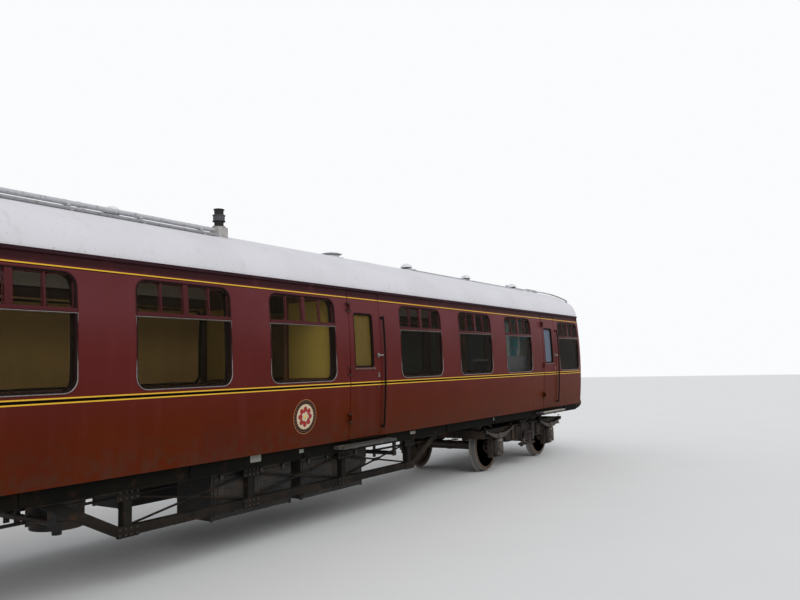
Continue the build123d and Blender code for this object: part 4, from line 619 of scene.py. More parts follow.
def wood_finish(name, colour, dark, roughness, along=0, wear=None):
    """Boards with grain drawn out along one axis, fine pores and, where asked, worn patches."""
    stretch = [7.0, 7.0, 7.0]
    stretch[along] = 0.5
    finish = Finish(name, colour, roughness)
    finish.lay(finish.noise(3.2, 0.35, 0.7, detail=6, stretch=stretch), dark, 0.75)
    finish.lay(finish.noise(14, 0.52, 0.66, detail=5, stretch=stretch), dark, 0.5, min(1.0, roughness + 0.15))
    if wear:
        finish.lay(finish.noise(8, 0.52, 0.7, detail=7), wear, 0.7, 0.85)
    finish.lift(finish.noise(14, 0.3, 0.7, detail=5, stretch=stretch), 0.0003)
    return finish.done()


def cloth_finish(name, colour, second, third, repeat=0.11):
    """Woven pile: warp and weft ridges, with small generic lozenges in two more colours."""
    finish = Finish(name, colour, 0.92, specular=0.15, sheen_weight=0.35)
    slant = [finish.waves(0.5 / repeat, "DIAGONAL"), finish.waves(0.7 / repeat, "X")]
    finish.lay(finish.ramp(finish.where(*slant), 0.45, 0.62), second, 0.85)
    finish.lay(finish.ramp(finish.where(*slant), 0.8, 0.9), third, 0.9)
    finish.lay(finish.noise(420, 0.4, 0.6, detail=2), shade(colour, 0.6), 0.45)
    finish.lay(finish.noise(3, 0.4, 0.7), shade(colour, 0.7, 0.02), 0.3)
    finish.lift(finish.waves(230, "X"), 0.0003).lift(finish.waves(230, "Y"), 0.0003)
    return finish.done()


def blind_finish(name, colour):
    """Plain weave with small stains, darker towards its roller."""
    finish = Finish(name, colour, 0.85, specular=0.15)
    finish.lay(finish.noise(1.6, 0.35, 0.75, stretch=(2, 1, 0.5)), shade(colour, 0.7), 0.5)
    finish.lay(finish.ramp(finish.axis(2), 2.2, 2.75), shade(colour, 0.25), 0.75)
    finish.lay(finish.noise(300, 0.4, 0.6, detail=2, stretch=(1, 1, 0.3)), shade(colour, 0.75), 0.5)
    finish.lift(finish.waves(300, "X"), 0.00012).lift(finish.waves(300, "Z"), 0.00012)
    return finish.done()


def rubber_finish(name, colour, pitch=60):
    """Dull rubber or proofed canvas: fine ribs, grey bloom and dust."""
    finish = Finish(name, colour, 0.78, specular=0.3)
    finish.lay(finish.noise(5, 0.4, 0.75, detail=6), (0.09, 0.085, 0.08), 0.45, 0.9)
    finish.lay(finish.noise(40, 0.55, 0.75, detail=5), (0.12, 0.11, 0.1), 0.4)
    finish.lift(finish.waves(pitch, "Z"), 0.0002).lift(finish.noise(120, 0.35, 0.7), 0.0003)
    return finish.done()


def metal_finish(name, colour, roughness, stain, amount=0.4, scale=30.0, metallic=1.0):
    """Bare or plated metal: scratches drawn out along X, stains in patches."""
    finish = Finish(name, colour, roughness, metallic=metallic)
    finish.lay(finish.noise(scale, 0.45, 0.72, detail=6), stain, amount, min(1.0, roughness + 0.3))
    finish.lay(finish.noise(scale * 5, 0.5, 0.6, detail=3, stretch=(0.2, 1, 1)), stain, amount * 0.4,
               min(1.0, roughness + 0.12))
    finish.lift(finish.noise(scale * 4, 0.4, 0.7), 0.00005)
    return finish.done()


def line_finish(name, colour, roughness=0.4, wear=(0.04, 0.02, 0.015), specular=0.2):
    """Painted line or enamel: thin places, tiny chips and a little dirt."""
    finish = Finish(name, colour, roughness, specular=specular)
    finish.lay(finish.noise(22, 0.5, 0.8, detail=6), shade(colour, 0.72), 0.5, roughness + 0.15)
    finish.lay(finish.specks(90, 0.12), wear, 0.6)
    finish.lay(finish.noise(130, 0.66, 0.75, detail=4), wear, 0.5)
    finish.lift(finish.noise(200, 0.3, 0.7), 0.00003)
    return finish.done()


def glass_finish(name, tint, alpha):
    """Dark clear pane with a thin film of dust. The pane's inner faces are left clear, so that a look through
    it meets one coat of tint and gloss on its way in and one on its way out."""
    finish = Finish(name, tint, 0.04, specular=0.14)
    inner = finish.nodes.new("ShaderNodeNewGeometry").outputs["Backfacing"]
    finish.links.new(finish.calc("MULTIPLY_ADD", inner, -alpha), finish.shader.inputs["Alpha"])
    finish.shader.inputs["Alpha"].links[0].from_node.inputs[2].default_value = alpha
    film = finish.where(finish.noise(5, 0.45, 0.8, detail=5), finish.noise(0.8, 0.3, 0.7))
    finish.lay(film, (0.07, 0.065, 0.05), 0.12, 0.12)
    finish.material.surface_render_method = "DITHERED"
    return finish.done()


def banded_finish(name, bands, roughness=0.7):
    """Paint that changes with height: each row is the height where a colour starts, and the colour."""
    finish = Finish(name, bands[0][1], roughness, specular=0.25)
    for height, colour in bands[1:]:
        finish.lay(finish.ramp(finish.axis(2), height - 0.003, height + 0.003), colour)
    finish.lay(finish.noise(24, 0.5, 0.75, detail=6), (0.06, 0.055, 0.05), 0.45, 0.85)
    finish.lift(finish.noise(90, 0.35, 0.7), 0.0003)
    return finish.done()


# Plain painted trims: name, colour, roughness
LINES = [
    ("badge_rim", (0.45, 0.19, 0.07), 0.45), ("badge_cream", (0.55, 0.47, 0.33), 0.4),
    ("badge_brown", (0.016, 0.007, 0.006), 0.6), ("badge_red", (0.3, 0.022, 0.018), 0.4),
    ("screen_ochre", (0.14, 0.09, 0.01), 0.6), ("screen_frost", (0.13, 0.17, 0.23), 0.6),
    ("teal_paint", (0.07, 0.32, 0.36), 0.5), ("pale_teal", (0.6, 0.9, 0.85), 0.5),
    ("panel_tan", (0.75, 0.52, 0.1), 0.5), ("panel_green", (0.2, 0.25, 0.21), 0.5),
    ("panel_blue", (0.25, 0.4, 0.46), 0.5), ("lino_brown", (0.09, 0.055, 0.032), 0.45),
    ("unit_grey", (0.035, 0.036, 0.038), 0.5), ("enamel_white", (0.62, 0.62, 0.58), 0.4),
    ("label_white", (0.22, 0.22, 0.19), 0.65), ("lamp_glass", (0.75, 0.72, 0.6), 0.25),
    # The sill's paler pink is a painted highlight along the top of the door window's sill
    ("sill_pink", (0.13, 0.062, 0.05), 0.5), ("piping", (0.11, 0.025, 0.02), 0.7),
    ("soot_black", (0.012, 0.011, 0.011), 0.8), ("hinge_maroon", (0.045, 0.02, 0.014), 0.45),
]

# Bare metals: name, colour, roughness, stain
METALS = [
    ("bright_metal", (0.26, 0.245, 0.225), 0.45, (0.1, 0.08, 0.06)),
    ("bead_metal", (0.3, 0.28, 0.27), 0.55, (0.1, 0.07, 0.06)), ("brass", (0.62, 0.42, 0.16), 0.32, (0.16, 0.09, 0.04)),
    ("oily_steel", (0.06, 0.055, 0.05), 0.5, (0.02, 0.015, 0.01)),
    ("spring_steel", (0.08, 0.07, 0.065), 0.55, (0.1, 0.05, 0.03)),
]

# Wheelsets by their own names, and where their axles stand
WHEELSETS = {
    f"wheelset_{end}_{place}": side * (BOGIE_X + (HALF_BASE if place == "outer" else -HALF_BASE))
    for end, side in (("front", 1), ("rear", -1)) for place in ("outer", "inner")
}

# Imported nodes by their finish: each node goes by the longest start of its name that is listed here
NODE_FINISHES = {
    "door_maroon": "door_", "maroon": "side_walls", "gutter_maroon": "gutters", "frame_maroon": "window_frames",
    "hinge_maroon": "hinge_lugs", "roof_grey": "roof_crown roof_haunches roof_shoulders", "vent_paint": "roof_vents",
    "pipe_paint": "roof_pipes", "chimney_paint": "chimney", "end_black": "end_walls end_steps",
    "end_door_paint": "end_door", "blind_cloth": "window_blinds", "rail_dark": "grab_rails",
    "bellows_canvas": "gangway_bellows", "faceplate_steel": "gangway_faceplates", "panel_wood": "partitions",
    "bench_wood": "bench_frames", "moquette": "bench_cushions", "unit_grey": "kitchen_unit", "floor_wood": "floor",
    "underframe_black": "underframe body_bolsters truss_frames", "solebar_black": "solebars headstocks",
    "box_black": "battery_boxes", "cast_black": "brake_cylinders couplers", "step_wood": "step_boards",
    "buffer_steel": "buffers", "bogie_grime": "bogie_front_frame bogie_rear_frame",
    "axlebox_iron": "bogie_front_axleboxes bogie_rear_axleboxes",
    "spring_steel": "bogie_front_springs bogie_rear_springs",
}


def node_finish(name):
    """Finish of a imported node."""
    if name in WHEELSETS:
        return name + "_steel"
    if name.endswith("_glass"):
        return "pane_glass"
    starts = {start: finish for finish, group in NODE_FINISHES.items() for start in group.split()}
    return starts[max((start for start in starts if name.startswith(start)), key=len)]


def make_finishes():
    """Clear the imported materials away, build every finish and give each CAD node its own."""
    for material in list(bpy.data.materials):
        bpy.data.materials.remove(material)
    look = bpy.context.scene.coach_finish
    maroon = list(look.maroon)
    maroon_paint("maroon", maroon, inside=(0.07, 0.045, 0.025))
    maroon_paint("door_maroon", shade(maroon, 0.97), inside=(0.16, 0.08, 0.035))
    # Frames: the side paint darkened, a painted shade for the recessed window and door frames
    maroon_paint("frame_maroon", shade(maroon, 0.62))
    maroon_paint("gutter_maroon", [0.75 * maroon[0], maroon[1] + 0.006, maroon[2] + 0.01])
    line_finish("rail_dark", (0.01, 0.005, 0.004), 0.5, specular=0.06)
    # Seals and linings deep in the window and door reveals: dark rubber in part, and painted shade
    line_finish("reveal_shade", (0.01, 0.005, 0.004), 0.7, specular=0.08)
    roof_paint("roof_grey", list(look.roof_grey))
    line_finish("gold", list(look.gold))
    line_finish("lining_black", (0.004, 0.002, 0.002), 0.8, wear=(0.02, 0.01, 0.008), specular=0.04)
    for name, colour, roughness in LINES:
        line_finish(name, colour, roughness)
    for name, colour, roughness, stain in METALS:
        metal_finish(name, colour, roughness, stain)
    grimy_paint("end_black", (0.016, 0.015, 0.016), (0.07, 0.055, 0.042), 0.5, rust=0.2)
    grimy_paint("end_door_paint", (0.05, 0.012, 0.011), (0.07, 0.05, 0.038), 0.45, rust=0.12)
    # Solebars and headstocks: near black, a painted shade for the deep shadow under the body
    grimy_paint("solebar_black", (0.004, 0.004, 0.003), (0.011, 0.009, 0.006), 0.75, rust=0.12, specular=0.06)
    grimy_paint("underframe_black", (0.01, 0.009, 0.008), (0.035, 0.026, 0.018), 0.8, rust=0.3, specular=0.1)
    grimy_paint("box_black", (0.018, 0.018, 0.018), (0.055, 0.042, 0.03), 0.6, scale=1.6)
    grimy_paint("bogie_grime", (0.021, 0.018, 0.016), (0.075, 0.05, 0.032), 0.78, rust=0.45, scale=1.4)
    cast_finish("cast_black", (0.022, 0.02, 0.019), 0.65)
    cast_finish("axlebox_iron", (0.03, 0.026, 0.023), 0.6)
    cast_finish("buffer_steel", (0.03, 0.028, 0.027), 0.5)
    cast_finish("faceplate_steel", (0.09, 0.085, 0.08), 0.5, rust=0.5)
    cast_finish("brake_iron", (0.05, 0.035, 0.027), 0.9, rust=0.7)
    wood_finish("panel_wood", (0.2, 0.085, 0.03), (0.085, 0.032, 0.012), 0.35, along=2)
    wood_finish("bench_wood", (0.15, 0.07, 0.028), (0.07, 0.028, 0.012), 0.4)
    wood_finish("trim_wood", (0.26, 0.13, 0.055), (0.12, 0.05, 0.02), 0.3)
    wood_finish("floor_wood", (0.1, 0.06, 0.035), (0.05, 0.03, 0.02), 0.5)
    wood_finish("step_wood", (0.055, 0.052, 0.046), (0.022, 0.02, 0.018), 0.8, wear=(0.12, 0.1, 0.08))
    wood_finish("step_pale", (0.5, 0.46, 0.38), (0.3, 0.27, 0.22), 0.75, wear=(0.2, 0.18, 0.15))
    cloth_finish("moquette", (0.045, 0.02, 0.016), (0.16, 0.05, 0.03), (0.32, 0.2, 0.08))
    # Blinds: a pale bright ochre that stands in for daylight shining through the cloth
    blind_finish("blind_cloth", (0.95, 0.6, 0.19))
    blind_finish("green_cloth", (0.12, 0.15, 0.13))
    rubber_finish("bellows_canvas", (0.022, 0.021, 0.021))
    rubber_finish("seal_rubber", (0.009, 0.009, 0.009), pitch=20)
    glass_finish("pane_glass", (0.03, 0.022, 0.012), 0.16)
    glass_finish("mirror_glass", (0.2, 0.22, 0.22), 0.9)
    # Painted light and shade: vent caps paler above 3.78 m as a painted highlight on their tops, pipe paint darker
    # below 3.72 m as painted shade on the lower pipe and the pipes' undersides
    banded_finish("vent_paint", [(0, (0.55, 0.55, 0.56)), (3.78, (0.75, 0.75, 0.77))])
    banded_finish("pipe_paint", [(0, (0.3, 0.3, 0.31)), (3.72, (0.5, 0.5, 0.52))])
    low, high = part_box("chimney")
    base = roof_z((low.y + high.y) / 2)
    tall = high.z - base
    banded_finish("chimney_paint", [
        (0, (0.4, 0.385, 0.37)), (base + 0.113, (0.02, 0.018, 0.018)), (base + 0.55 * tall, (0.075, 0.075, 0.08)),
        (base + 0.77 * tall, (0.02, 0.019, 0.019)),
    ])
    for name, x in WHEELSETS.items():
        wheel_finish(name + "_steel", x)
    for name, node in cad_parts.items():
        node.data.materials.clear()
        node.data.materials.append(bpy.data.materials[node_finish(name)])


def side_spans():
    """Runs of wall between the doorways, from end to end."""
    doors = sorted(DOOR_XS.values())
    starts = [END_BOW - BODY_END] + [x + DOORWAY / 2 for x in doors]
    return list(zip(starts, [x - DOORWAY / 2 for x in doors] + [BODY_END - END_BOW]))


def at_door(shape, x, side):
    """Carry a shape drawn about the near side's door, hinge at -X, to a doorway: turned round on the far side."""
    return on_side(moved(flipped(shape, 0) if side == FAR else shape, x), side)


def each_door():
    """Every side door's body, its doorway's middle and its side."""
    for end, x in DOOR_XS.items():
        yield f"door_{end}_left", x, FAR
        yield f"door_{end}_right", x, NEAR


def ribbon(x0, x1, z, width, high=0.0012):
    """Thin strip on the side between two places along the coach."""
    return slab((x0, -0.003, z - width / 2), (x1, high, z + width / 2), edge=0.0004, axis=1)


def lining(x0, x1):
    """The waist's two gold lines with black between, and the cantrail's line with its dark lower edge."""
    look = bpy.context.scene.coach_finish
    waist, apart, width, top = look.waist_height, look.waist_spread, look.line_width, look.cantrail_height
    gold = join(*[ribbon(x0, x1, z, width) for z in (waist + apart / 2, waist - apart / 2, top)])
    black = join(ribbon(x0, x1, waist, apart - width, 0.0009), ribbon(x0, x1, top - 0.8 * width, 0.6 * width, 0.0009))
    return (gold, "gold"), (black, "lining_black")


class COACH_OT_lining(bpy.types.Operator):
    """Gold and black lines along walls and doors"""
    bl_idname = "coach.lining"
    bl_label = "Lining"

    def execute(self, context):
        parts = every([part for span in side_spans() for part in lining(*span)], on_sides)
        make_piece("wall_lining", parts)
        for body, x, side in each_door():
            make_piece(f"{body}_lining", every(lining(-LEAF_HALF, LEAF_HALF), at_door, x, side), body)
        return {"FINISHED"}


BADGE_X, BADGE_Z = WINDOW_XS[4], 1.47


def rosette(radius, petals=8):
    """Flower outline: its distance from the middle swells and shrinks once a petal."""
    normals = circle(1, petals * 12)[1]
    reach = radius * (0.66 + 0.34 * np.abs(np.cos(turns(petals * 12) * petals / 2)) ** 0.6)
    return reach[:, None] * normals, normals


class COACH_OT_badge(bpy.types.Operator):
    """Plain rosette in a beaded brown ring on both sides"""
    bl_idname = "coach.badge"
    bl_label = "Badge"

    def execute(self, context):
        outer = context.scene.coach_finish.badge_size / 2
        inner = 0.74 * outer
        rim = mm((0, -3), (0, 2), (-2, 3), (-4, 3), (-6, 2), (-6, -3))
        bead = lathe(mm((5, 0), (4.5, 1.4), (1.5, 2)), 8, axis=1)
        parts = [
            (join(*[moulding(circle(radius, 64), rim) for radius in (outer, inner)]), "badge_rim"),
            (plate(circle(outer - 0.004, 64), -0.003, 0.0012), "badge_brown"),
            (plate(circle(inner - 0.004, 64), -0.002, 0.0022), "badge_cream"),
            (plate(rosette(0.6 * outer), -0.002, 0.0036, 0.001), "badge_red"),
            (plate(rosette(0.3 * outer, 5), 0, 0.005, 0.0012), "badge_cream"),
            (lathe(mm((20, 0), (18, 3), (10, 5)), 20, axis=1, at=(0, 0.004, 0)), "gold"),
            (copies(bead, around(0.86 * outer, 28, (0, 0.001, 0), axis=1)), "badge_rim"),
        ]
        make_piece("side_badges", every(every(parts, moved, BADGE_X, 0, BADGE_Z), on_sides))
        return {"FINISHED"}


# Sections round an opening: distance out from its edge, then height above the side
WINDOW_Z = (SILL + WINDOW_TOP) / 2
RIM = mm((8, -3), (8, 1.5), (4, 4), (-1, 4), (-2, 1), (-2, -10), (0, -12))
SEAL = mm((-1, -12), (-1, -1), (-8, -1), (-21.5, -7), (-21.5, -47.5), (-17, -47.5), (-17, -12))
INNER_FRAME = mm((45, -88), (45, -100), (30, -106), (-6, -106), (-16, -96), (-16, -48), (2, -48), (2, -88))
TOPLIGHT = mm((1, -30), (1, -21), (-3, -17), (-9, -17), (-11, -21), (-11, -30))


def sill_bead(width, corner, tail, out=0.004, radius=0.005, grow=0.001):
    """Half-round bead round a window: down beside it, round both lower corners and along its sill."""
    reach = corner + grow
    left = np.pi + np.linspace(0, 1, 8) * np.pi / 2
    middle = width / 2 - corner
    path = [(-middle - reach, out, corner + tail)]
    for centre, turn in ((-middle, left), (middle, left + np.pi / 2)):
        path += [(centre + reach * math.cos(a), out, corner + reach * math.sin(a)) for a in turn]
    path += [(middle + reach, out, corner + tail)]
    wide = np.full(len(path), radius)
    wide[[0, -1]] = 0.4 * radius
    return tube(path, wide, 8)


def toplight_frames():
    """Thin frames round a toplight's four panes."""
    low, high = TRANSOM + TRANSOM_HEIGHT, WINDOW_TOP - 0.02
    shapes = []
    for start, end, corner in [(0.035, 0.299, 0.014), (0.319, 0.5895, 0.05)]:
        outline = rounded(end - start, high - low, corner, 5, 0.15)
        shapes += [moulding(outline, TOPLIGHT, sign * (start + end) / 2, (low + high) / 2) for sign in (-1, 1)]
    return join(*shapes)


class COACH_OT_windows(bpy.types.Operator):
    """Rims, seals, sills, transoms and toplights of the saloon windows"""
    bl_idname = "coach.windows"
    bl_label = "Windows"

    def execute(self, context):
        hole = rounded(WINDOW_WIDTH, WINDOW_TOP - SILL, WINDOW_CORNER, 8, 0.13)
        half = WINDOW_WIDTH / 2
        bead = moved(sill_bead(WINDOW_WIDTH, WINDOW_CORNER, TRANSOM - SILL - WINDOW_CORNER), z=SILL)
        cap = slab((0.008 - half, -0.02, TRANSOM + 0.009), (half - 0.008, 0.0075, TRANSOM + 0.047), 0.006, axis=1)
        line = slab((-half - 0.012, -0.012, TRANSOM), (half + 0.012, 0.0035, TRANSOM + 0.0065), 0.002, axis=1)
        post = slab((-0.034, -0.014, TRANSOM + 0.04), (0.034, -0.003, WINDOW_TOP - 0.01), 0.004, axis=1)
        for name, shape, finish, slot in [
            ("window_rims", moulding(hole, RIM, z=WINDOW_Z), "frame_maroon", "frame_paint"),
            ("window_seals", moulding(hole, SEAL, z=WINDOW_Z), "reveal_shade", None),
            ("sill_beads", bead, "bead_metal", None),
            ("transom_caps", cap, "frame_maroon", "frame_paint"),
            ("transom_lines", line, "bead_metal", None),
            ("toplight_posts", post, "frame_maroon", "frame_paint"),
            ("toplight_frames", toplight_frames(), "frame_maroon", "frame_paint"),
            ("window_linings", moulding(hole, INNER_FRAME, z=WINDOW_Z), "reveal_shade", "panel_wood"),
        ]:
            make_piece(name, [(join(*[on_sides(moved(shape, x)) for x in WINDOW_XS]), finish)])
        return {"FINISHED"}


# The near side's handle, drawn about the door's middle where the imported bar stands, and the plates below it
HANDLE_X, HANDLE_Z, HANDLE_OUT = 0.289, 2.221, 0.045
LOCK_X, LOCK_Z, CATCH_Z = HANDLE_X + 0.008, 1.945, 1.775
DOOR_LIGHT = mm((1, -20), (1, -6), (-4, -3), (-22, -5), (-26, -11), (-26, -20))
DOOR_INNER = mm((30, -58), (30, -66), (12, -70), (-14, -70), (-20, -60), (-20, -26), (1, -26))
DOOR_SCREENS = {"middle": "screen_ochre", "front": "screen_frost"}


def door_parts():
    """Fittings on one side door, drawn about its middle with the hinge at -X, each with its finish."""
    x, low, high, half = DOOR_GLASS["x"], DOOR_GLASS["low"], DOOR_GLASS["high"], DOOR_GLASS["width"] / 2
    hole = rounded(2 * half, high - low, DOOR_GLASS["corner"], 7, 0.12)
    edge = np.array([(0, 0, z) for z in np.linspace(LEAF_BOTTOM + 0.015, LEAF_TOP - 0.015, 17)])
    edges = [tube(edge + (place, 0, 0), 0.0045, 8) for place in (0.007 - LEAF_HALF, LEAF_HALF - 0.007)]
    # Its paler pink finish is a painted highlight along the sill's top
    sill = slab((x - half - 0.01, -0.006, low - 0.024), (x + half + 0.01, 0.014, low + 0.001), 0.005, axis=1)
    bump = lathe(mm((13, 0), (12, 8), (6, 13)), 12, axis=1, at=(x + half - 0.02, 0.016, low - 0.012))
    lever = lathe(mm((8, -60), (12.8, -56), (14.3, 0), (12.8, 50), (8, 62)), 12, axis=0,
                  at=(HANDLE_X, HANDLE_OUT, HANDLE_Z))
    knob = lathe(mm((4, -22), (13, -17), (19, -4), (17, 9), (7, 17)), 14, axis=0,
                 at=(HANDLE_X - 0.058, HANDLE_OUT - 0.005, HANDLE_Z))
    rose = lathe(mm((34, -2), (34, 4), (26, 8), (17, 12), (14.5, 36)), 18, axis=1, at=(HANDLE_X, 0, HANDLE_Z))
    lock = plate(rounded(0.04, 0.07, 0.012, 5), -0.002, 0.006, 0.003, LOCK_X, LOCK_Z)
    keyhole = lathe(mm((12, 0), (12, 4), (7, 7)), 12, axis=1, at=(LOCK_X, 0.005, LOCK_Z + 0.01))
    screws = copies(rivet(0.004, 0.002, axis=1), [(LOCK_X, 0.006, LOCK_Z + dz) for dz in (-0.025, 0.028)])
    catch = plate(rounded(0.05, 0.03, 0.008, 4), -0.002, 0.012, 0.004, HANDLE_X - 0.02, CATCH_Z)
    return [
        (moulding(hole, RIM, x, (low + high) / 2), "frame_maroon"),
        (join(*[moulding(hole, section, x, (low + high) / 2) for section in (DOOR_LIGHT, DOOR_INNER)]), "reveal_shade"),
        (join(*edges), "door_maroon"), (sill, "sill_pink"), (join(bump, lever, knob, rose, lock), "bright_metal"),
        (join(keyhole, screws), "oily_steel"), (catch, "hinge_maroon"),
    ]


def door_screen():
    """Stiff coloured sheet that fills a door's window behind its pane, drawn like door_parts()."""
    x, low, high, half = DOOR_GLASS["x"], DOOR_GLASS["low"], DOOR_GLASS["high"], DOOR_GLASS["width"] / 2 - 0.015
    return slab((x - half, -0.042, low + 0.01), (x + half, -0.036, high - 0.01), 0.001, axis=0, step=0.1)


def make_surrounds():
    """Feet of the grab rails and the sill plate below each door."""
    foot = lathe(mm((26, -2), (26, 4), (18, 9), (12.5, 13)), 14, axis=1)
    feet = copies(foot, [(DOORWAY / 2 + 0.028, 0, z) for z in (1.225, 2.755)])
    plinth = slab((-LEAF_HALF, 0.0, BODY_BOTTOM - 0.016), (LEAF_HALF, 0.012, BODY_BOTTOM - 0.002), 0.003, axis=1)
    parts = []
    for _, x, side in each_door():
        parts += [(at_door(feet, x, side), "rail_dark"), (at_door(plinth, x, side), "solebar_black")]
    make_piece("doorway_fittings", parts)


class COACH_OT_doors(bpy.types.Operator):
    """Window frames, sills, screens, handles, locks and edge strips of the side doors, and what stands by them"""
    bl_idname = "coach.doors"
    bl_label = "Side doors"

    def execute(self, context):
        for body, x, side in each_door():
            screens = [(door_screen(), finish) for end, finish in DOOR_SCREENS.items() if end in body]
            make_piece(f"{body}_fittings", every(door_parts() + screens, at_door, x, side), body)
        make_surrounds()
        return {"FINISHED"}


# The roof: two shoulders that meet the crown's arc, and what stands on it
EAVES_Y = float(side_y(GUTTER_TOP))
ROOF_RISE = ROOF_TOP - GUTTER_TOP
SHOULDER_RADIUS = (2 * CROWN_RADIUS * ROOF_RISE - ROOF_RISE**2 - EAVES_Y**2) / (2 * (CROWN_RADIUS - EAVES_Y))
SHOULDER_Y = EAVES_Y - SHOULDER_RADIUS
CROWN_ANGLE = math.atan2(SHOULDER_Y, GUTTER_TOP - CROWN_Z)
ROOF_END = BODY_END - END_BOW
LAP_Y, SPOUT_X, CONDUIT_Y = 0.61, 9.72, -0.56
VENT_Y = -0.45
# Ventilators: place, radius and height of each cap
VENTS = [(-2.211, 0.1, 0.11), (1.56, 0.16, 0.062), (3.663, 0.1, 0.11), (5.854, 0.1, 0.11), (8.068, 0.1, 0.11)]
# Pipes: distance across, height of the middle over the roof, and a clamp's radius
PIPES = [(-0.69, 0.065, 0.027), (-0.76, 0.02, 0.018)]


def over_roof(x, width, height, steps=48):
    """Strap across the roof from gutter to gutter: a low rounded section carried along its three arcs."""
    angle = np.linspace(-np.pi / 2 + 0.02, np.pi / 2 - 0.02, steps)
    crown = np.abs(angle) < CROWN_ANGLE
    base = np.where(crown, CROWN_RADIUS, SHOULDER_RADIUS)
    centre_y = np.where(crown, 0, np.sign(angle) * SHOULDER_Y)
    centre_z = np.where(crown, CROWN_Z, GUTTER_TOP)
    half = np.array([(-width / 2, -0.006), (-width / 2, 0.4 * height), (-0.3 * width, height)])
    section = np.concatenate([half, half[::-1] * (-1, 1)])
    reach = base[:, None] + section[None, :, 1]
    rings = np.stack([np.broadcast_to(x + section[None, :, 0], reach.shape),
                      centre_y[:, None] + reach * np.sin(angle)[:, None],
                      centre_z[:, None] + reach * np.cos(angle)[:, None]], -1)
    return grid(rings, wrap_v=True, caps=True)


def make_vents():
    """Dark band below each ventilator's cap that stands in for the shadow under it, a flange on the roof and rivets
    round it.
    """
    parts = []
    level = float(roof_z(VENT_Y))
    for x, radius, height in VENTS:
        # A black ring under the cap: painted shadow
        slot = lathe([(0.78 * radius, 0.008), (0.78 * radius, 0.3 * height - 0.001)], 32, at=(x, VENT_Y, level))
        rim = lathe([(radius, -0.004), (radius + 0.006, -0.002), (radius + 0.006, 0.003), (radius, 0.006)], 32,
                    at=(x, VENT_Y, level + 0.36 * height))
        flange = lathe([(1.25 * radius, -0.02), (1.25 * radius, 0.003), (1.18 * radius, 0.006)], 32)
        flange = moved(turned(flange, 0, math.asin(-VENT_Y / CROWN_RADIUS)), x, VENT_Y, level)
        places = around(1.12 * radius, 12, (x, VENT_Y, 0))
        places[:, 2] = roof_z(places[:, 1]) + 0.004
        parts += [(slot, "soot_black"), (rim, "vent_paint"),
                  (join(flange, copies(rivet(0.006, 0.004), places)), "roof_grey")]
    make_piece("ventilator_details", parts)


def make_chimney():
    """Beads, cap and flashing on the chimney."""
    low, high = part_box("chimney")
    x, y = (low.x + high.x) / 2, (low.y + high.y) / 2
    base = float(roof_z(y))
    tall = high.z - base
    beads = [(0.072, base + 0.112, 0.01), (0.073, base + 0.55 * tall, 0.006),
             (0.073, base + 0.77 * tall - 0.003, 0.006), (0.06, high.z - 0.008, 0.007)]
    beads = [tube(around(radius, 28, (x, y, z)), thick, 8, closed=True) for radius, z, thick in beads]
    across = CROWN_RADIUS * math.asin(y / CROWN_RADIUS)
    flashing = on_roof(slab((x - 0.12, across - 0.12, -0.01), (x + 0.12, across + 0.12, 0.006), 0.003))
    parts = [(join(*beads), "chimney_paint"), (flashing, "roof_grey")]
    make_piece("chimney_details", parts)


def make_clamps():
    """Clamps and sockets on the pipes that lead to the chimney."""
    shapes = []
    for y, out, radius in PIPES:
        level = float(roof_z(y)) + out
        clamp = collar(radius, radius + 0.003, 0.009, 0.008, 16, axis=0)
        socket = collar(radius, radius + 0.004, 0.02, 0.018, 16, axis=0)
        shapes += [copies(clamp, row(np.linspace(-6.24, -1.25, 7), y, level)),
                   copies(socket, row([-4.6, -2.75], y, level))]
    make_piece("roof_pipe_clamps", [(join(*shapes), "pipe_paint")])


def make_conduit():
    """Thin conduit along the front half of the roof on saddles, raised near its end, and a cap further back."""
    y = CONDUIT_Y
    path = [(3.72, y, 0.011), (8.45, y, 0.011), (8.62, y, 0.05), (9.2, y, 0.05), (9.27, y, 0.0)]
    saddle = slab((-0.013, -0.022, -0.004), (0.013, 0.022, 0.014), 0.004)
    post = slab((-0.018, -0.02, -0.01), (0.018, 0.02, 0.056), 0.004)
    box = slab((3.62, y - 0.04, -0.01), (3.76, y + 0.04, 0.035), 0.006)
    whole = join(tube(bent(*path, bend=0.08), 0.0115, 8), copies(saddle, row(np.arange(3.9, 8.5, 0.58), y)),
                 copies(post, row([8.75, 9.05], y)), box)
    cap = lathe(mm((50, -30), (50, 20), (35, 45), (12, 55)), 20, at=(-3.55, -0.3, float(roof_z(0.3))))
    make_piece("roof_conduit", [(join(on_roof(whole), cap), "pipe_paint")])


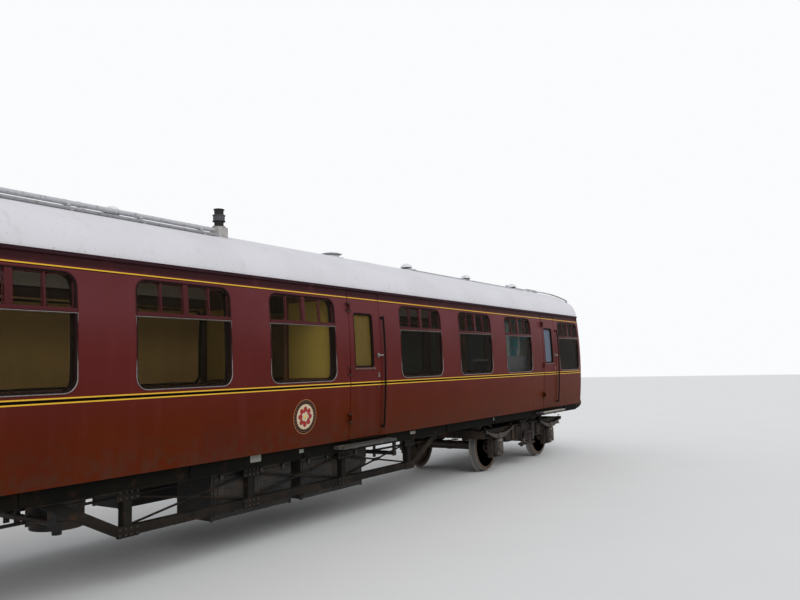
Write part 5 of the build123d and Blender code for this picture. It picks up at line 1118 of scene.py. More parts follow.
class COACH_OT_roof(bpy.types.Operator):
    """Seams, rivets, gutter strips and spouts, and the ventilators', chimney's, pipes' and conduit's details"""
    bl_idname = "coach.roof"
    bl_label = "Roof"

    def execute(self, context):
        seams = [over_roof(x, 0.03, 0.0025) for x in np.linspace(0.03 - ROOF_END, ROOF_END - 0.03, 9)]
        lap = slab((-ROOF_END, -0.012, -0.004), (ROOF_END, 0.012, 0.002), 0.001)
        laps = [on_roof(moved(lap, y=y)) for y in (-LAP_Y, LAP_Y)]
        make_piece("roof_seams", [(join(*seams, *laps), "roof_grey")])
        heads = copies(rivet(0.007, 0.004, axis=1),
                       row(np.arange(0.1 - ROOF_END, ROOF_END, 0.3), EAVES_Y - 0.0015, GUTTER_TOP + 0.028))
        edge = slab((-ROOF_END, EAVES_Y - 0.01, GUTTER_TOP - 0.004), (ROOF_END, EAVES_Y + 0.003, GUTTER_TOP + 0.009),
                    0.002, axis=0)
        make_piece("roof_edge", [(both(heads), "vent_paint"), (both(edge), "roof_grey")])
        lip = tube([(x, EAVES_Y + 0.0165, GUTTER_TOP + 0.001) for x in (-ROOF_END, ROOF_END)], 0.0045, 8)
        spouts = copies(lathe(mm((12, -70), (12, 0), (16, 12)), 10),
                        row([-SPOUT_X, SPOUT_X], EAVES_Y + 0.01, GUTTER_TOP - 0.03))
        make_piece("gutter_lips", [(both(lip), "frame_maroon"), (both(spouts), "gutter_maroon")])
        make_vents()
        make_chimney()
        make_clamps()
        make_conduit()
        return {"FINISHED"}


# Inside: the benches, then the partitions with the passage through them, and the ceiling
BENCH_BACK = float(side_y(FLOOR_TOP)) - WALL
BENCH_LENGTH, BENCH_DEPTH, BENCH_TOP, BENCH_THICK = 1.4, 0.47, FLOOR_TOP + 0.45, 0.09
PARTITION_XS = [-8.3135, 0.635, 1.7785, 7.201, 8.337]
PASSAGE_HALF, PASSAGE_TOP = 0.33, FLOOR_TOP + 1.946
INSIDE_END = 9.7
CEILING = ROOF_TOP - WALL


def bench_places():
    """Middle and side of each bench: one below each saloon window but the kitchen's."""
    for x in WINDOW_XS[1:]:
        for side in SIDES:
            if (x, side) != (WINDOW_XS[1], NEAR):
                yield x, side


def seat_pad(length, depth, thick, seats=3):
    """Crowned cushion: a squarish ring, y and z powers of a circle's cosine and sine, carried along X and drawn
    in towards both ends. Its top swells between sewn channels, its sides pull in and its foot stays flat."""
    along = np.linspace(-1, 1, 73)[:, None]
    turn = turns(48)[None]
    across = np.sign(np.cos(turn)) * np.abs(np.cos(turn)) ** 0.35
    up = np.sign(np.sin(turn)) * np.abs(np.sin(turn)) ** 0.45
    close = (1 - np.abs(along) ** 14).clip(0, 1) ** 0.45
    waist = 1 - 0.018 * (1 - along**2)
    y = across * depth / 2 * close * waist
    z = up * thick / 2 * (0.35 + 0.65 * close)
    swell = (1 - across**4) * (1 - along**6)
    middles = (np.arange(1, seats) / seats * 2 - 1)[:, None, None]
    channel = np.exp(-(((along - middles) * length / 2 / 0.011) ** 2)).sum(0)
    z = np.where(up > 0, z - 0.012 + swell * 0.012 - 0.011 * channel * np.abs(up), np.maximum(z, -thick / 2))
    x = along * length / 2 * (1 - 0.006 * (1 - across**2))
    return grid(np.stack([np.broadcast_to(x, y.shape), y, z], -1), wrap_v=True, caps=True)


class COACH_OT_cushions(bpy.types.Operator):
    """Crowned seat cushions with channels and piping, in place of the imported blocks"""
    bl_idname = "coach.cushions"
    bl_label = "Cushions"

    def execute(self, context):
        pad = seat_pad(BENCH_LENGTH - 0.006, BENCH_DEPTH - 0.006, BENCH_THICK)
        outline, _ = rounded(BENCH_LENGTH - 0.02, BENCH_DEPTH - 0.022, 0.03, 5, 0.2)
        path = np.column_stack([outline, np.full(len(outline), BENCH_THICK / 2 - 0.017)])
        cord = tube(path, 0.0045, 6, closed=True)
        for number, (x, side) in enumerate(bench_places(), 1):
            place = x, side * (BENCH_BACK - BENCH_DEPTH / 2), BENCH_TOP - BENCH_THICK / 2
            parts = [(moved(pad, *place), "moquette"), (moved(cord, *place), "piping")]
            cushion = make_piece(f"bench_cushion_{number:02d}", parts, sharp=80)
            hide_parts("bench_cushions")
        return {"FINISHED"}


def hems(faces):
    """Strips that close the cloth's four edges between its two faces."""
    edges = [(slice(None), 0), (slice(None), -1), (0, slice(None)), (-1, slice(None))]
    return [grid(np.stack([faces[0][edge], faces[1][edge]])) for edge in edges]


class COACH_OT_blinds(bpy.types.Operator):
    """Pulled-down blinds on the far side, each with its roller and batten"""
    bl_idname = "coach.blinds"
    bl_label = "Blinds"

    def execute(self, context):
        wide, low, high = WINDOW_WIDTH + 0.06, SILL - 0.008, WINDOW_TOP + 0.03
        x, z = np.meshgrid(np.linspace(-wide / 2, wide / 2, 41), np.linspace(low, high, 33), indexing="ij")
        batten = join(tube([(end, -0.1, low + 0.004) for end in (-wide / 2, wide / 2)], 0.007, 8),
                      slab((-0.02, -0.104, low - 0.05), (0.02, -0.1, low), 0.001, axis=1))
        roller = tube([(end, -0.112, high) for end in (-wide / 2 - 0.01, wide / 2 + 0.01)], 0.015, 10)
        for number, place in enumerate(WINDOW_XS[1:], 1):
            phase = 1.7 * number
            sway = -0.1 + 0.0022 * np.sin(7 * x + phase) * (high - z) + 0.001 * np.sin(2.2 * z + 3 * x + phase)
            faces = np.stack([np.stack([x, sway + out, z], -1) for out in (0.0006, -0.0006)])
            cloth = join(grid(faces[0]), grid(faces[1][::-1]), *hems(faces))
            finish = "green_cloth" if number == 1 else "blind_cloth"
            cloth, rod, roll = [on_side(moved(shape, place), FAR) for shape in (cloth, batten, roller)]
            sheet = make_piece(f"blind_{number}", [(cloth, finish)], sharp=180)
            rods = make_piece(f"blind_{number}_rods", [(rod, "trim_wood"), (roll, "brass")])
            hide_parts("window_blinds")
        return {"FINISHED"}


# Upper panels that aren't tan, by the partition's number and its face
ODD_PANELS = {(3, -1): "panel_green", (4, -1): "panel_blue"}
# Panels on each side of a partition's face: reach across, heights, how far they stand out, finish
PANELS = [
    (0.43, 1.23, 1.93, 2.97, 0.006, None), (0.43, 1.23, 1.42, 1.83, 0.006, "panel_wood"),
    (0.385, 1.26, 1.85, 1.91, 0.014, "trim_wood"), (0.385, 1.24, FLOOR_TOP, FLOOR_TOP + 0.09, 0.012, "bench_wood"),
    (PASSAGE_HALF - 0.002, 0.375, FLOOR_TOP, PASSAGE_TOP + 0.045, 0.012, "trim_wood"),
]


def wall_panel(x, face, y0, y1, z0, z1, proud):
    """Panel on a partition's face, raised from it by proud, with its corners eased."""
    inner, outer = sorted((x + face * 0.016, x + face * (0.017 + proud)))
    return slab((inner, y0, z0), (outer, y1, z1), 0.003, axis=0)


def make_ceiling():
    """Round opal lamps on brass rims, and joint strips across the ceiling."""
    xs = [x for x in np.arange(-9.0, 9.3, 1.5) if min(abs(x - p) for p in PARTITION_XS) > 0.25]
    bowl = lathe(mm((5, -75), (70, -70), (115, -45), (130, -12), (130, 10)), 24)
    rim = lathe(mm((130, -16), (150, -12), (152, 12), (120, 12)), 24)
    y = np.linspace(-1.1, 1.1, 21)
    z = CROWN_Z + np.sqrt((CROWN_RADIUS - WALL) ** 2 - y**2)
    strips = [tube(np.stack([np.full(21, x), y, z], 1), 0.012, 6) for x in np.arange(-8.25, 9, 1.5)]
    lamps = every([(bowl, "lamp_glass"), (rim, "brass")], copies, row(xs, 0, CEILING))
    make_piece("ceiling_fittings", [*lamps, (join(*strips), "trim_wood")])


def make_walls():
    """Dado rail and skirting along both walls, pilasters between windows, and the aisle's strip of linoleum."""
    parts = []
    breaks = [*DOOR_XS.values(), *PARTITION_XS]
    for x0, x1 in side_spans():
        x0, x1 = max(x0, -INSIDE_END) + 0.03, min(x1, INSIDE_END) - 0.03
        dado = slab((x0, -0.108, 1.845), (x1, -0.088, 1.875), 0.005, axis=0)
        skirting = slab((x0, -0.104, FLOOR_TOP + 0.002), (x1, -0.088, FLOOR_TOP + 0.1), 0.004, axis=0)
        parts.append((on_sides(dado, skirting), "trim_wood"))
    for first, second in zip(WINDOW_XS[:-1], WINDOW_XS[1:]):
        middle = (first + second) / 2
        if abs(first - second) < 1.9 and min(abs(middle - x) for x in breaks) > 0.3:
            post = slab((middle - 0.12, -0.1, 1.88), (middle + 0.12, -0.088, 3.05), 0.004, axis=1, step=0.15)
            parts.append((on_sides(post), "panel_wood"))
    lino = slab((-INSIDE_END, -0.5, FLOOR_TOP - 0.002), (INSIDE_END, 0.5, FLOOR_TOP + 0.004), 0.001)
    make_piece("wall_trim", parts + [(lino, "lino_brown")])


class COACH_OT_saloon(bpy.types.Operator):
    """Partition panels and door frames, ceiling lamps, dado rails, pilasters and floor covering"""
    bl_idname = "coach.saloon"
    bl_label = "Saloon"

    def execute(self, context):
        parts = []
        for number, x in enumerate(PARTITION_XS):
            for face in (1, -1):
                upper = ODD_PANELS.get((number, face), "panel_tan")
                parts += [(both(wall_panel(x, face, *sizes)), finish or upper) for *sizes, finish in PANELS]
                lintel = wall_panel(x, face, -0.375, 0.375, PASSAGE_TOP - 0.002, PASSAGE_TOP + 0.05, 0.014)
                parts.append((lintel, "trim_wood"))
        make_piece("partition_panels", parts)
        make_ceiling()
        make_walls()
        return {"FINISHED"}


# The screen beside the kitchen: each bar's reach across, its heights and its finish
SCREEN_BARS = [
    (-1.24, -1.2, 1.93, 2.95, "teal_paint"), (-0.47, -0.43, 1.93, 2.95, "teal_paint"),
    (-1.24, -0.43, 1.93, 1.97, "teal_paint"), (-1.24, -0.43, 2.56, 2.6, "teal_paint"),
    (-1.24, -0.43, 2.93, 2.97, "teal_paint"), (-0.76, -0.73, 1.97, 2.93, "enamel_white"),
    (-0.98, -0.95, 1.97, 2.93, "enamel_white"), (-0.95, -0.65, 2.12, 2.15, "enamel_white"),
    (-0.725, -0.64, 1.97, 2.93, "pale_teal"),
]


def make_screen(x):
    """Glazing bars, pale uprights and a teal plate on the partition behind the kitchen's window."""
    parts = []
    for y0, y1, z0, z1, finish in SCREEN_BARS:
        back, front, edge = (x - 0.012, x, 0.004) if finish == "teal_paint" else (x - 0.014, x - 0.002, 0.003)
        parts.append((slab((back, y0, z0), (front, y1, z1), edge, axis=0), finish))
    parts.append((slab((x - 0.008, -0.95, 1.97), (x - 0.002, -0.76, 2.57), 0.002, axis=0), "teal_paint"))
    make_piece("kitchen_screen", parts)


class COACH_OT_kitchen(bpy.types.Operator):
    """Worktop, doors, hob and tap of the unit, with the glazed teal screen beside it"""
    bl_idname = "coach.kitchen"
    bl_label = "Kitchen"

    def execute(self, context):
        low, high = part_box("kitchen_unit")
        front, top = low.y + 0.6, FLOOR_TOP + 0.8
        worktop = slab((low.x - 0.01, low.y + 0.045, top), (high.x + 0.01, front + 0.025, top + 0.03), 0.008)
        doors, metal = [], []
        pitch = (high.x - low.x - 0.02) / 3
        for x in low.x + 0.02 + pitch * np.arange(3):
            doors.append(slab((x, front - 0.004, FLOOR_TOP + 0.1), (x + pitch - 0.02, front + 0.012, top - 0.03),
                              0.006, 0.012, axis=1))
            pull = [(x + dx, front + out, top - 0.12) for dx, out in
                    ((0.05, 0.01), (0.05, 0.035), (0.15, 0.035), (0.15, 0.01))]
            metal.append(tube(bent(*pull, bend=0.012), 0.005, 8))
        hob = lathe(mm((85, 0), (85, 8), (75, 12), (20, 12)), 24)
        spots = [(low.x + dx, low.y + dy, top + 0.03) for dx in (0.2, 0.44) for dy in (0.2, 0.42)]
        tap = [(high.x - 0.25, low.y + dy, top + dz)
               for dy, dz in ((0.08, 0.02), (0.08, 0.24), (0.24, 0.24), (0.24, 0.18))]
        metal.append(tube(bent(*tap, bend=0.06), 0.011, 10))
        bowl = moulding(rounded(0.42, 0.34, 0.06, 5), mm((12, 1), (12, 6), (-8, 6), (-20, -4), (-20, -20), (0, -20)))
        metal.append(moved(turned(bowl, 0, math.pi / 2), high.x - 0.3, low.y + 0.33, top + 0.03))
        parts = [(worktop, "enamel_white"), (join(*doors), "unit_grey"), (copies(hob, spots), "soot_black"),
                 (join(*metal), "bright_metal")]
        make_piece("kitchen_fittings", parts)
        make_screen(PARTITION_XS[3] - 0.023)
        return {"FINISHED"}


# Gangway: the bellows' half width, heights, depth and folds, the face plate's front and the end door's face
BELLOWS_HALF, BELLOWS_TOP, BELLOWS_LOW = 0.5, PASSAGE_TOP + 0.17, FLOOR_TOP - 0.062
BELLOWS_DEEP, FOLDS = 0.38, 7
FACE_X = BODY_END + 0.408
END_DOOR_X = BODY_END - WALL + 0.038


def facing_end(shape, x, z):
    """Carry a shape of the x and z plane to an upright plane across the coach, with its height towards +X."""
    return moved(turned(shape, 2, -math.pi / 2), x, 0, z)


def make_gangway():
    """Rivets and a rubbing strip on the face plate, hoops in the folds, brackets and a treadplate."""
    places = [(FACE_X - 0.001, y, z) for z in np.arange(1.34, 3.4, 0.12) for y in (-0.475, 0.475)]
    places += [(FACE_X - 0.001, y, BELLOWS_TOP - 0.04) for y in np.linspace(-0.38, 0.38, 8)]
    rivets = copies(lathe(mm((9, -3), (8.5, 0.5), (4, 1)), 8, axis=0), places)
    outline, _ = rounded(2 * (BELLOWS_HALF - 0.029), BELLOWS_TOP - BELLOWS_LOW - 0.058, 0.02, 4)
    path = np.column_stack([np.zeros(len(outline)), outline]) + (BODY_END, 0, (BELLOWS_TOP + BELLOWS_LOW) / 2)
    hoops = [tube(path + (fold * BELLOWS_DEEP / FOLDS, 0, 0), 0.006, 6, closed=True) for fold in range(1, FOLDS)]
    tread = slab((BODY_END - 0.02, -0.31, FLOOR_TOP - 0.012), (FACE_X - 0.01, 0.31, FLOOR_TOP + 0.004), 0.003)
    studs = [(x, y, FLOOR_TOP + 0.003) for x in np.arange(BODY_END + 0.03, FACE_X - 0.03, 0.06)
             for y in np.arange(-0.27, 0.28, 0.06)]
    stud = lathe(mm((11, 0), (7, 2.5)), 6)
    arm = [(BODY_END - 0.02, 0, 0.12), (BODY_END + 0.2, 0, 0.12), (FACE_X - 0.04, 0, 0)]
    arms = copies(tube(bent(*arm, bend=0.12), 0.014, 8), [(0, y, BELLOWS_TOP) for y in (-0.42, 0.42)])
    face = moulding(rounded(2 * PASSAGE_HALF + 0.05, PASSAGE_TOP - FLOOR_TOP + 0.05, 0.03, 4),
                    mm((20, -10), (20, 0), (0, 0), (0, -10)))
    make_piece("gangway_details", [
        (ends(rivets), "faceplate_steel"), (ends(*hoops, tread, copies(stud, studs)), "oily_steel"),
        (ends(arms), "spring_steel"),
        (ends(facing_end(face, FACE_X + 0.0006, (PASSAGE_TOP + FLOOR_TOP) / 2)), "seal_rubber"),
    ])


def make_wall_fittings():
    """Panel strips, handrails, lamp irons, connector covers and a drip strip over the gangway."""
    shapes = {"rail_dark": [], "end_black": [], "cast_black": []}
    foot = lathe(mm((28, -2), (28, 6), (18, 12)), 12, axis=0)
    for y in (-1.12, 1.12):
        x = float(bow_x(y))
        rail = [(x + out, y, z) for out, z in ((-0.01, 1.5), (0.06, 1.5), (0.06, 2.75), (-0.01, 2.75))]
        shapes["rail_dark"].append(tube(bent(*rail, bend=0.04), 0.0125, 10))
        shapes["end_black"].append(copies(foot, [(x, y, 1.5), (x, y, 2.75)]))
    for y in (-0.62, 0.62, -0.95, 0.95):
        x = float(bow_x(y))
        strip = slab((x - 0.004, y - 0.02, FLOOR_BOTTOM + 0.02), (x + 0.004, y + 0.02, 3.05), 0.002, axis=0)
        heads = copies(rivet(0.005, 0.003, axis=0), [(x + 0.003, y, z) for z in np.arange(1.3, 3.0, 0.14)])
        shapes["end_black"] += [strip, heads]
    iron = join(slab((-0.004, -0.03, -0.06), (0.008, 0.03, 0.02), 0.003, axis=0),
                slab((0, -0.025, -0.05), (0.07, 0.025, -0.038), 0.003),
                slab((0.055, -0.02, -0.045), (0.066, 0.02, 0.07), 0.003, axis=0))
    cover = join(slab((-0.004, -0.09, -0.11), (0.07, 0.09, 0.11), 0.012, 0.02, axis=0),
                 slab((0.066, -0.075, -0.095), (0.078, 0.075, 0.095), 0.005, 0.012, axis=0),
                 tube([(0.07, -0.07, 0.105), (0.07, 0.07, 0.105)], 0.009, 8))
    for shape, places in ((iron, [(-0.9, 1.62), (0.9, 1.62), (0.0, BELLOWS_TOP + 0.17)]),
                          (cover, [(-0.78, 1.95), (0.78, 1.95)])):
        shapes["cast_black"] += [moved(shape, float(bow_x(y)), y, z) for y, z in places]
    angle = np.linspace(-0.46, 0.46, 21)
    reach = CROWN_RADIUS - 0.07
    drip = np.stack([np.full(21, BODY_END + 0.012), reach * np.sin(angle), CROWN_Z + reach * np.cos(angle)], 1)
    x = BODY_END - END_BOW * 0.62
    label = slab((x, 0.98, 1.27), (x + 0.02, 1.18, 1.38), 0.003, axis=0)
    parts = [(ends(*group), finish) for finish, group in shapes.items()]
    parts += [(ends(tube(drip, 0.012, 8)), "roof_grey"), (ends(label), "label_white")]
    make_piece("end_fittings", parts)


def make_end_steps():
    """Ribs, toe lips and side cheeks on the climbing steps."""
    y = (BELLOWS_HALF + EAVES_Y) / 2
    rib = copies(slab((0.008, -0.1, 0.02), (0.12, -0.09, 0.027), 0.002), [(0, k * 0.025, 0) for k in range(8)])
    lip = slab((0.118, -0.112, -0.012), (0.13, 0.112, 0.034), 0.003)
    cheek = slab((-0.01, 0.099, -0.075), (0.1, 0.111, 0.004), 0.003, axis=1)
    step = copies(join(rib, lip, both(cheek)), [(0, 0, index * 0.42) for index in range(4)])
    step = moved(step, float(bow_x(y)), y, FLOOR_TOP + 0.15)
    make_piece("end_step_treads", [(ends(step), "end_black")])


def make_end_doors():
    """Window, panels and handle on each gangway door."""
    x = END_DOOR_X
    hole = rounded(0.3, 0.62, 0.04, 6)
    ring = moulding(hole, mm((18, -2), (18, 4), (6, 8), (-10, 6), (-12, -2)))
    panel = moulding(rounded(0.46, 0.6, 0.02, 4), mm((6, -2), (6, 3), (-6, 3), (-8, -2)))
    kick = slab((x - 0.002, -0.28, FLOOR_TOP + 0.05), (x + 0.004, 0.28, FLOOR_TOP + 0.3), 0.002, axis=0)
    grip = [(x + out, -0.25, z) for out, z in ((0, 2.18), (0.045, 2.18), (0.045, 2.36), (0, 2.36))]
    lock = slab((x - 0.002, -0.29, 2.05), (x + 0.006, -0.24, 2.15), 0.003, axis=0)
    brass = join(facing_end(ring, x, 2.72), tube(bent(*grip, bend=0.02), 0.009, 8), lock)
    parts = [(facing_end(plate(hole, 0, 0.003), x, 2.72), "mirror_glass"), (brass, "brass"),
             (kick, "bright_metal"), (facing_end(panel, x, 1.98), "end_door_paint")]
    make_piece("end_door_front_fittings", parts, "end_door_front")
    make_piece("end_door_rear_fittings", every(parts, flipped, 0, 1), "end_door_rear")


class COACH_OT_ends(bpy.types.Operator):
    """Gangway rivets and hoops, handrails, lamp irons, covers, steps and door fittings of both ends"""
    bl_idname = "coach.ends"
    bl_label = "Ends"

    def execute(self, context):
        make_gangway()
        make_wall_fittings()
        make_end_steps()
        make_end_doors()
        return {"FINISHED"}


# Solebar, truss and boxes: where they stand, then their labels as place, width and height
SOLEBAR_HALF, LABEL_Z = 9.5, 1.046
LABELS = [(-0.862, 0.17, 0.078), (-0.07, 0.092, 0.045), (2.487, 0.142, 0.045), (5.32, 0.1, 0.06), (-5.4, 0.15, 0.07),
          (-7.9, 0.09, 0.05)]
TRUSS_XS, TRUSS_Y, TRUSS_LOW = [-2.49, -0.86, 0.86, 2.49], 1.12, 0.505
BOX_XS, BOX_WIDE, BOX_Y, BOX_TOP = (0.095, -1.375), 1.28, 1.075, SOLEBAR_LOW - 0.012
STEP_HALF, STEP_TOP = 0.607, 1.0425
STEP_IN, STEP_OUT = SOLEBAR_Y + 0.014, SOLEBAR_Y + 0.192
# Brakes and buffers
CYLINDER_X = 2.5
BUFFER_Y, BUFFER_Z = 0.8635, 1.083


def make_solebar_details():
    """Rivet rows, stiffening angles, blank label plates and jacking pads on the solebars."""
    y = SOLEBAR_Y
    rows = [copies(rivet(0.0085, 0.005, axis=1), row(np.arange(-SOLEBAR_HALF, SOLEBAR_HALF, 0.16), y, z))
            for z in (SOLEBAR_LOW + 0.022, SOLEBAR_HIGH - 0.1)]
    angle = slab((-0.035, y - 0.002, SOLEBAR_LOW + 0.01), (0.035, y + 0.012, SOLEBAR_HIGH - 0.09), 0.003, axis=1)
    pad = slab((-0.11, y - 0.06, SOLEBAR_LOW - 0.028), (0.11, y + 0.004, SOLEBAR_LOW + 0.002), 0.006)
    labels = [plate(rounded(wide, tall, 0.006, 3), y - 0.002, y + 0.006, 0.002, x, LABEL_Z)
              for x, wide, tall in LABELS]
    frame_parts = join(*rows, copies(angle, row(np.arange(-8.9, 9.0, 1.78))), copies(pad, row([-4.6, 4.6])))
    parts = [(both(frame_parts), "solebar_black"), (both(*labels), "label_white")]
    make_piece("solebar_details", parts)


def make_truss_details():
    """Gussets with bolts at the truss's joints, and tie rods with turnbuckles between its posts."""
    y, low, high = TRUSS_Y, TRUSS_LOW + 0.1, SOLEBAR_LOW - 0.09
    joints = [(x, z) for x in TRUSS_XS for z in (TRUSS_LOW + 0.045, SOLEBAR_LOW - 0.06)]
    gusset = slab((-0.13, y + 0.044, -0.055), (0.13, y + 0.054, 0.055), 0.003, 0.02, axis=1)
    shapes = [copies(gusset, [(x, 0, z) for x, z in joints])]
    places = [(x + dx, y + 0.053, z + dz) for x, z in joints for dx in (-0.095, -0.03, 0.03, 0.095)
              for dz in (-0.028, 0.028)]
    for x0, x1 in zip(TRUSS_XS[:-1], TRUSS_XS[1:]):
        for z0, z1 in ((low, high), (high, low)):
            shapes.append(tube([(x0 + 0.07, y, z0), (x1 - 0.07, y, z1)], 0.012, 8))
        shapes.append(collar(0.012, 0.024, 0.09, 0.075, 8, axis=0, at=((x0 + x1) / 2, y, (low + high) / 2)))
    ledge = slab((-0.4, y + 0.045, SOLEBAR_LOW - 0.016), (0.4, y + 0.115, SOLEBAR_LOW - 0.002), 0.003)
    shapes.append(copies(ledge, row([-3.0, 3.0])))
    bolts = copies(bolt(0.013, 0.011, axis=1), places)
    parts = [(both(*shapes), "underframe_black"), (both(bolts), "oily_steel")]
    make_piece("truss_details", parts)


def make_boxes():
    """Lids, straps, hinges, catches, vents and blank plates on the battery boxes."""
    y, top = BOX_Y, BOX_TOP
    lid = [slab((0, y - 0.004, top - 0.49), (0.6, y + 0.012, top - 0.06), 0.005, 0.015, axis=1),
           slab((0.05, y + 0.008, top - 0.44), (0.55, y + 0.017, top - 0.11), 0.004, 0.02, axis=1)]
    lid += [slab((0.14, y + 0.015, z - 0.2), (0.46, y + 0.026, z - 0.19), 0.003, axis=0)
            for z in top - 0.035 * np.arange(5)]
    metal = [slab((x, y + 0.004, top - 0.1), (x + 0.05, y + 0.026, top - 0.035), 0.005, axis=1) for x in (0.08, 0.46)]
    metal.append(slab((0.27, y + 0.01, top - 0.47), (0.32, y + 0.034, top - 0.39), 0.006, axis=1))
    strap = slab((0, y - 0.03, top - 0.53), (0.03, y + 0.006, top), 0.003)
    label = plate(rounded(0.11, 0.06, 0.006, 3), y + 0.015, y + 0.021, 0.002, 0.2, top - 0.4)
    lids = row([x + dx for x in BOX_XS for dx in (0.03, 0.65)])
    straps = copies(strap, row([x + dx for x in BOX_XS for dx in (-0.004, BOX_WIDE - 0.026)]))
    parts = [(both(copies(join(*lid), lids), straps), "box_black"),
             (both(copies(join(*metal), lids)), "oily_steel"), (both(copies(label, row(BOX_XS))), "label_white")]
    make_piece("battery_box_details", parts)


def make_steps():
    """Braces and bolts below each step board, and worn pale paint on the near front one."""
    brace = [(0, SOLEBAR_Y + 0.002, SOLEBAR_LOW + 0.03), (0, STEP_IN + 0.03, SOLEBAR_LOW + 0.012),
             (0, STEP_OUT - 0.06, 0.99)]
    brace = tube(bent(*brace, bend=0.03), 0.012, 8)
    head = lathe(mm((12, 0), (9, 3)), 10)
    heads = copies(head, [(0, y, 1.0395) for y in (STEP_IN + 0.04, STEP_OUT - 0.05)])
    nosing = slab((-STEP_HALF, STEP_OUT - 0.012, 1.0), (STEP_HALF, STEP_OUT - 0.0005, STEP_TOP), 0.003, axis=0)
    doors = row(list(DOOR_XS.values()))
    sides = row([x + dx for x in DOOR_XS.values() for dx in (-0.305, 0.305)])
    x, y, half = DOOR_XS["front"], -STEP_OUT, STEP_HALF + 0.001
    pale = join(slab((x - half, y + 0.004, 1.038), (x + half, y + 0.056, STEP_TOP + 0.001), 0.002),
                slab((x - half - 0.001, y + 0.0002, 1.003), (x + half + 0.001, y + 0.004, STEP_TOP + 0.001),
                     0.002, axis=0))
    parts = [(both(copies(brace, sides)), "underframe_black"),
             (both(copies(heads, sides), copies(nosing, doors)), "oily_steel"), (pale, "step_pale")]
    make_piece("step_details", parts)


def make_rigging():
    """Train pipes along the solebars on hangers, pull rods and levers from the brake cylinders to the bogies."""
    x, z, under = CYLINDER_X, SOLEBAR_LOW + 0.02, FLOOR_BOTTOM - 0.02
    pipes = [tube([(-SOLEBAR_HALF, y, z + dz), (SOLEBAR_HALF, y, z + dz)], radius, 8)
             for y, dz, radius in [(-0.86, 0.03, 0.03), (0.86, 0.02, 0.025), (0.93, 0.05, 0.016)]]
    clip = slab((-0.02, 0.815, z - 0.02), (0.02, 0.905, under), 0.004)
    clips = both(copies(clip, row(np.arange(-9.2, 9.3, 1.84))))
    gear = [
        tube([(x, 0.16, 0.62), (5.3, 0.16, 0.62)], 0.019, 8),
        tube([(0.3, -0.16, 0.66), (x, -0.16, 0.62)], 0.017, 8),
        tube([(x + 0.42, -0.62, 0.66), (x + 0.42, 0.62, 0.66)], 0.034, 12),
        copies(slab((x + 0.39, -0.012, 0.58), (x + 0.45, 0.012, 0.9), 0.006, axis=1),
               [(0, y, 0) for y in (-0.2, 0, 0.2)]),
        both(slab((x + 0.38, 0.586, 0.62), (x + 0.46, 0.614, under), 0.006, axis=1)),
        copies(collar(0.266, 0.273, 0.02, 0.016, 32), [(x, 0, 0.56), (x, 0, 0.72)]),
        copies(bolt(0.014, 0.012), [(x + 0.28 * math.cos(a), 0.28 * math.sin(a), 0.882)
                                    for a in np.linspace(0, 6.28, 16, endpoint=False)]),
        lathe(mm((50, 400), (50, 440), (120, 470), (220, 484), (240, 487)), 24, at=(x, 0, 0)),
    ]
    parts = [(join(*pipes), "oily_steel"), (clips, "underframe_black"), (ends(*gear), "cast_black")]
    make_piece("brake_rigging", parts)


def make_buffers():
    """Flange, rings, ribs, bolts and a greasy face ring on each buffer, drawn about its back."""
    rib = slab((0.03, -0.007, 0.088), (0.17, 0.007, 0.112), 0.004, axis=1)
    fin = slab((0.625, -0.01, 0.05), (0.68, 0.01, 0.16), 0.006, axis=1)
    shapes = [
        lathe(mm((118, -2), (118, 20), (100, 30), (91.5, 60)), 28, axis=0, at=(0.024, 0, 0)),
        collar(0.0915, 0.098, 0.014, 0.01, 28, axis=0, at=(0.2, 0, 0)),
        collar(0.0915, 0.101, 0.014, 0.01, 28, axis=0, at=(0.318, 0, 0)),
        *[turned(rib, 0, angle) for angle in turns(6)], *[turned(fin, 0, angle) for angle in turns(4)],
        copies(bolt(0.014, 0.012, axis=0), [(0.024, dy, dz) for dy in (-0.078, 0.078) for dz in (-0.078, 0.078)]),
    ]
    grease = lathe(mm((130, -3), (120, -0.5), (0, -0.5)), 32, axis=0, at=(0.71, 0, 0))
    places = [(BODY_END - 0.165, y, BUFFER_Z) for y in (-BUFFER_Y, BUFFER_Y)]
    parts = [(ends(copies(join(*shapes), places)), "cast_black"), (ends(copies(grease, places)), "oily_steel")]
    make_piece("buffer_details", parts + drawgear_parts())


def drawgear_parts():
    """The coupler's pin, plate, lips and bolts, and the headstock's rivets."""
    x = BODY_END
    shapes = [tube([(x + 0.39, 0.06, 0.945), (x + 0.39, 0.06, 1.225)], 0.024, 12),
              slab((x - 0.16, -0.11, 0.97), (x - 0.12, 0.11, 1.19), 0.01, axis=0),
              copies(slab((x + 0.1, -0.07, 1.145), (x + 0.13, 0.07, 1.155), 0.003), row([0, 0.12])),
              copies(bolt(0.015, 0.012, axis=0), [(x - 0.122, y, z) for y in (-0.085, 0.085) for z in (1.0, 1.16)])]
    ys = [y for y in np.arange(-1.18, 1.19, 0.118) if abs(abs(y) - BUFFER_Y) > 0.13 and abs(y) > 0.13]
    heads = copies(rivet(0.011, 0.006, axis=0), [(x - 0.166, y, z) for y in ys for z in (0.985, 1.155)])
    return [(ends(*shapes), "cast_black"), (ends(heads), "solebar_black")]


class COACH_OT_underframe(bpy.types.Operator):
    """Rivets, blank labels, trussing, boxes, steps, pipes, brake rigging and buffers below the floor"""
    bl_idname = "coach.underframe"
    bl_label = "Underframe"

    def execute(self, context):
        make_solebar_details()
        make_truss_details()
        make_boxes()
        make_steps()
        make_rigging()
        make_buffers()
        return {"FINISHED"}


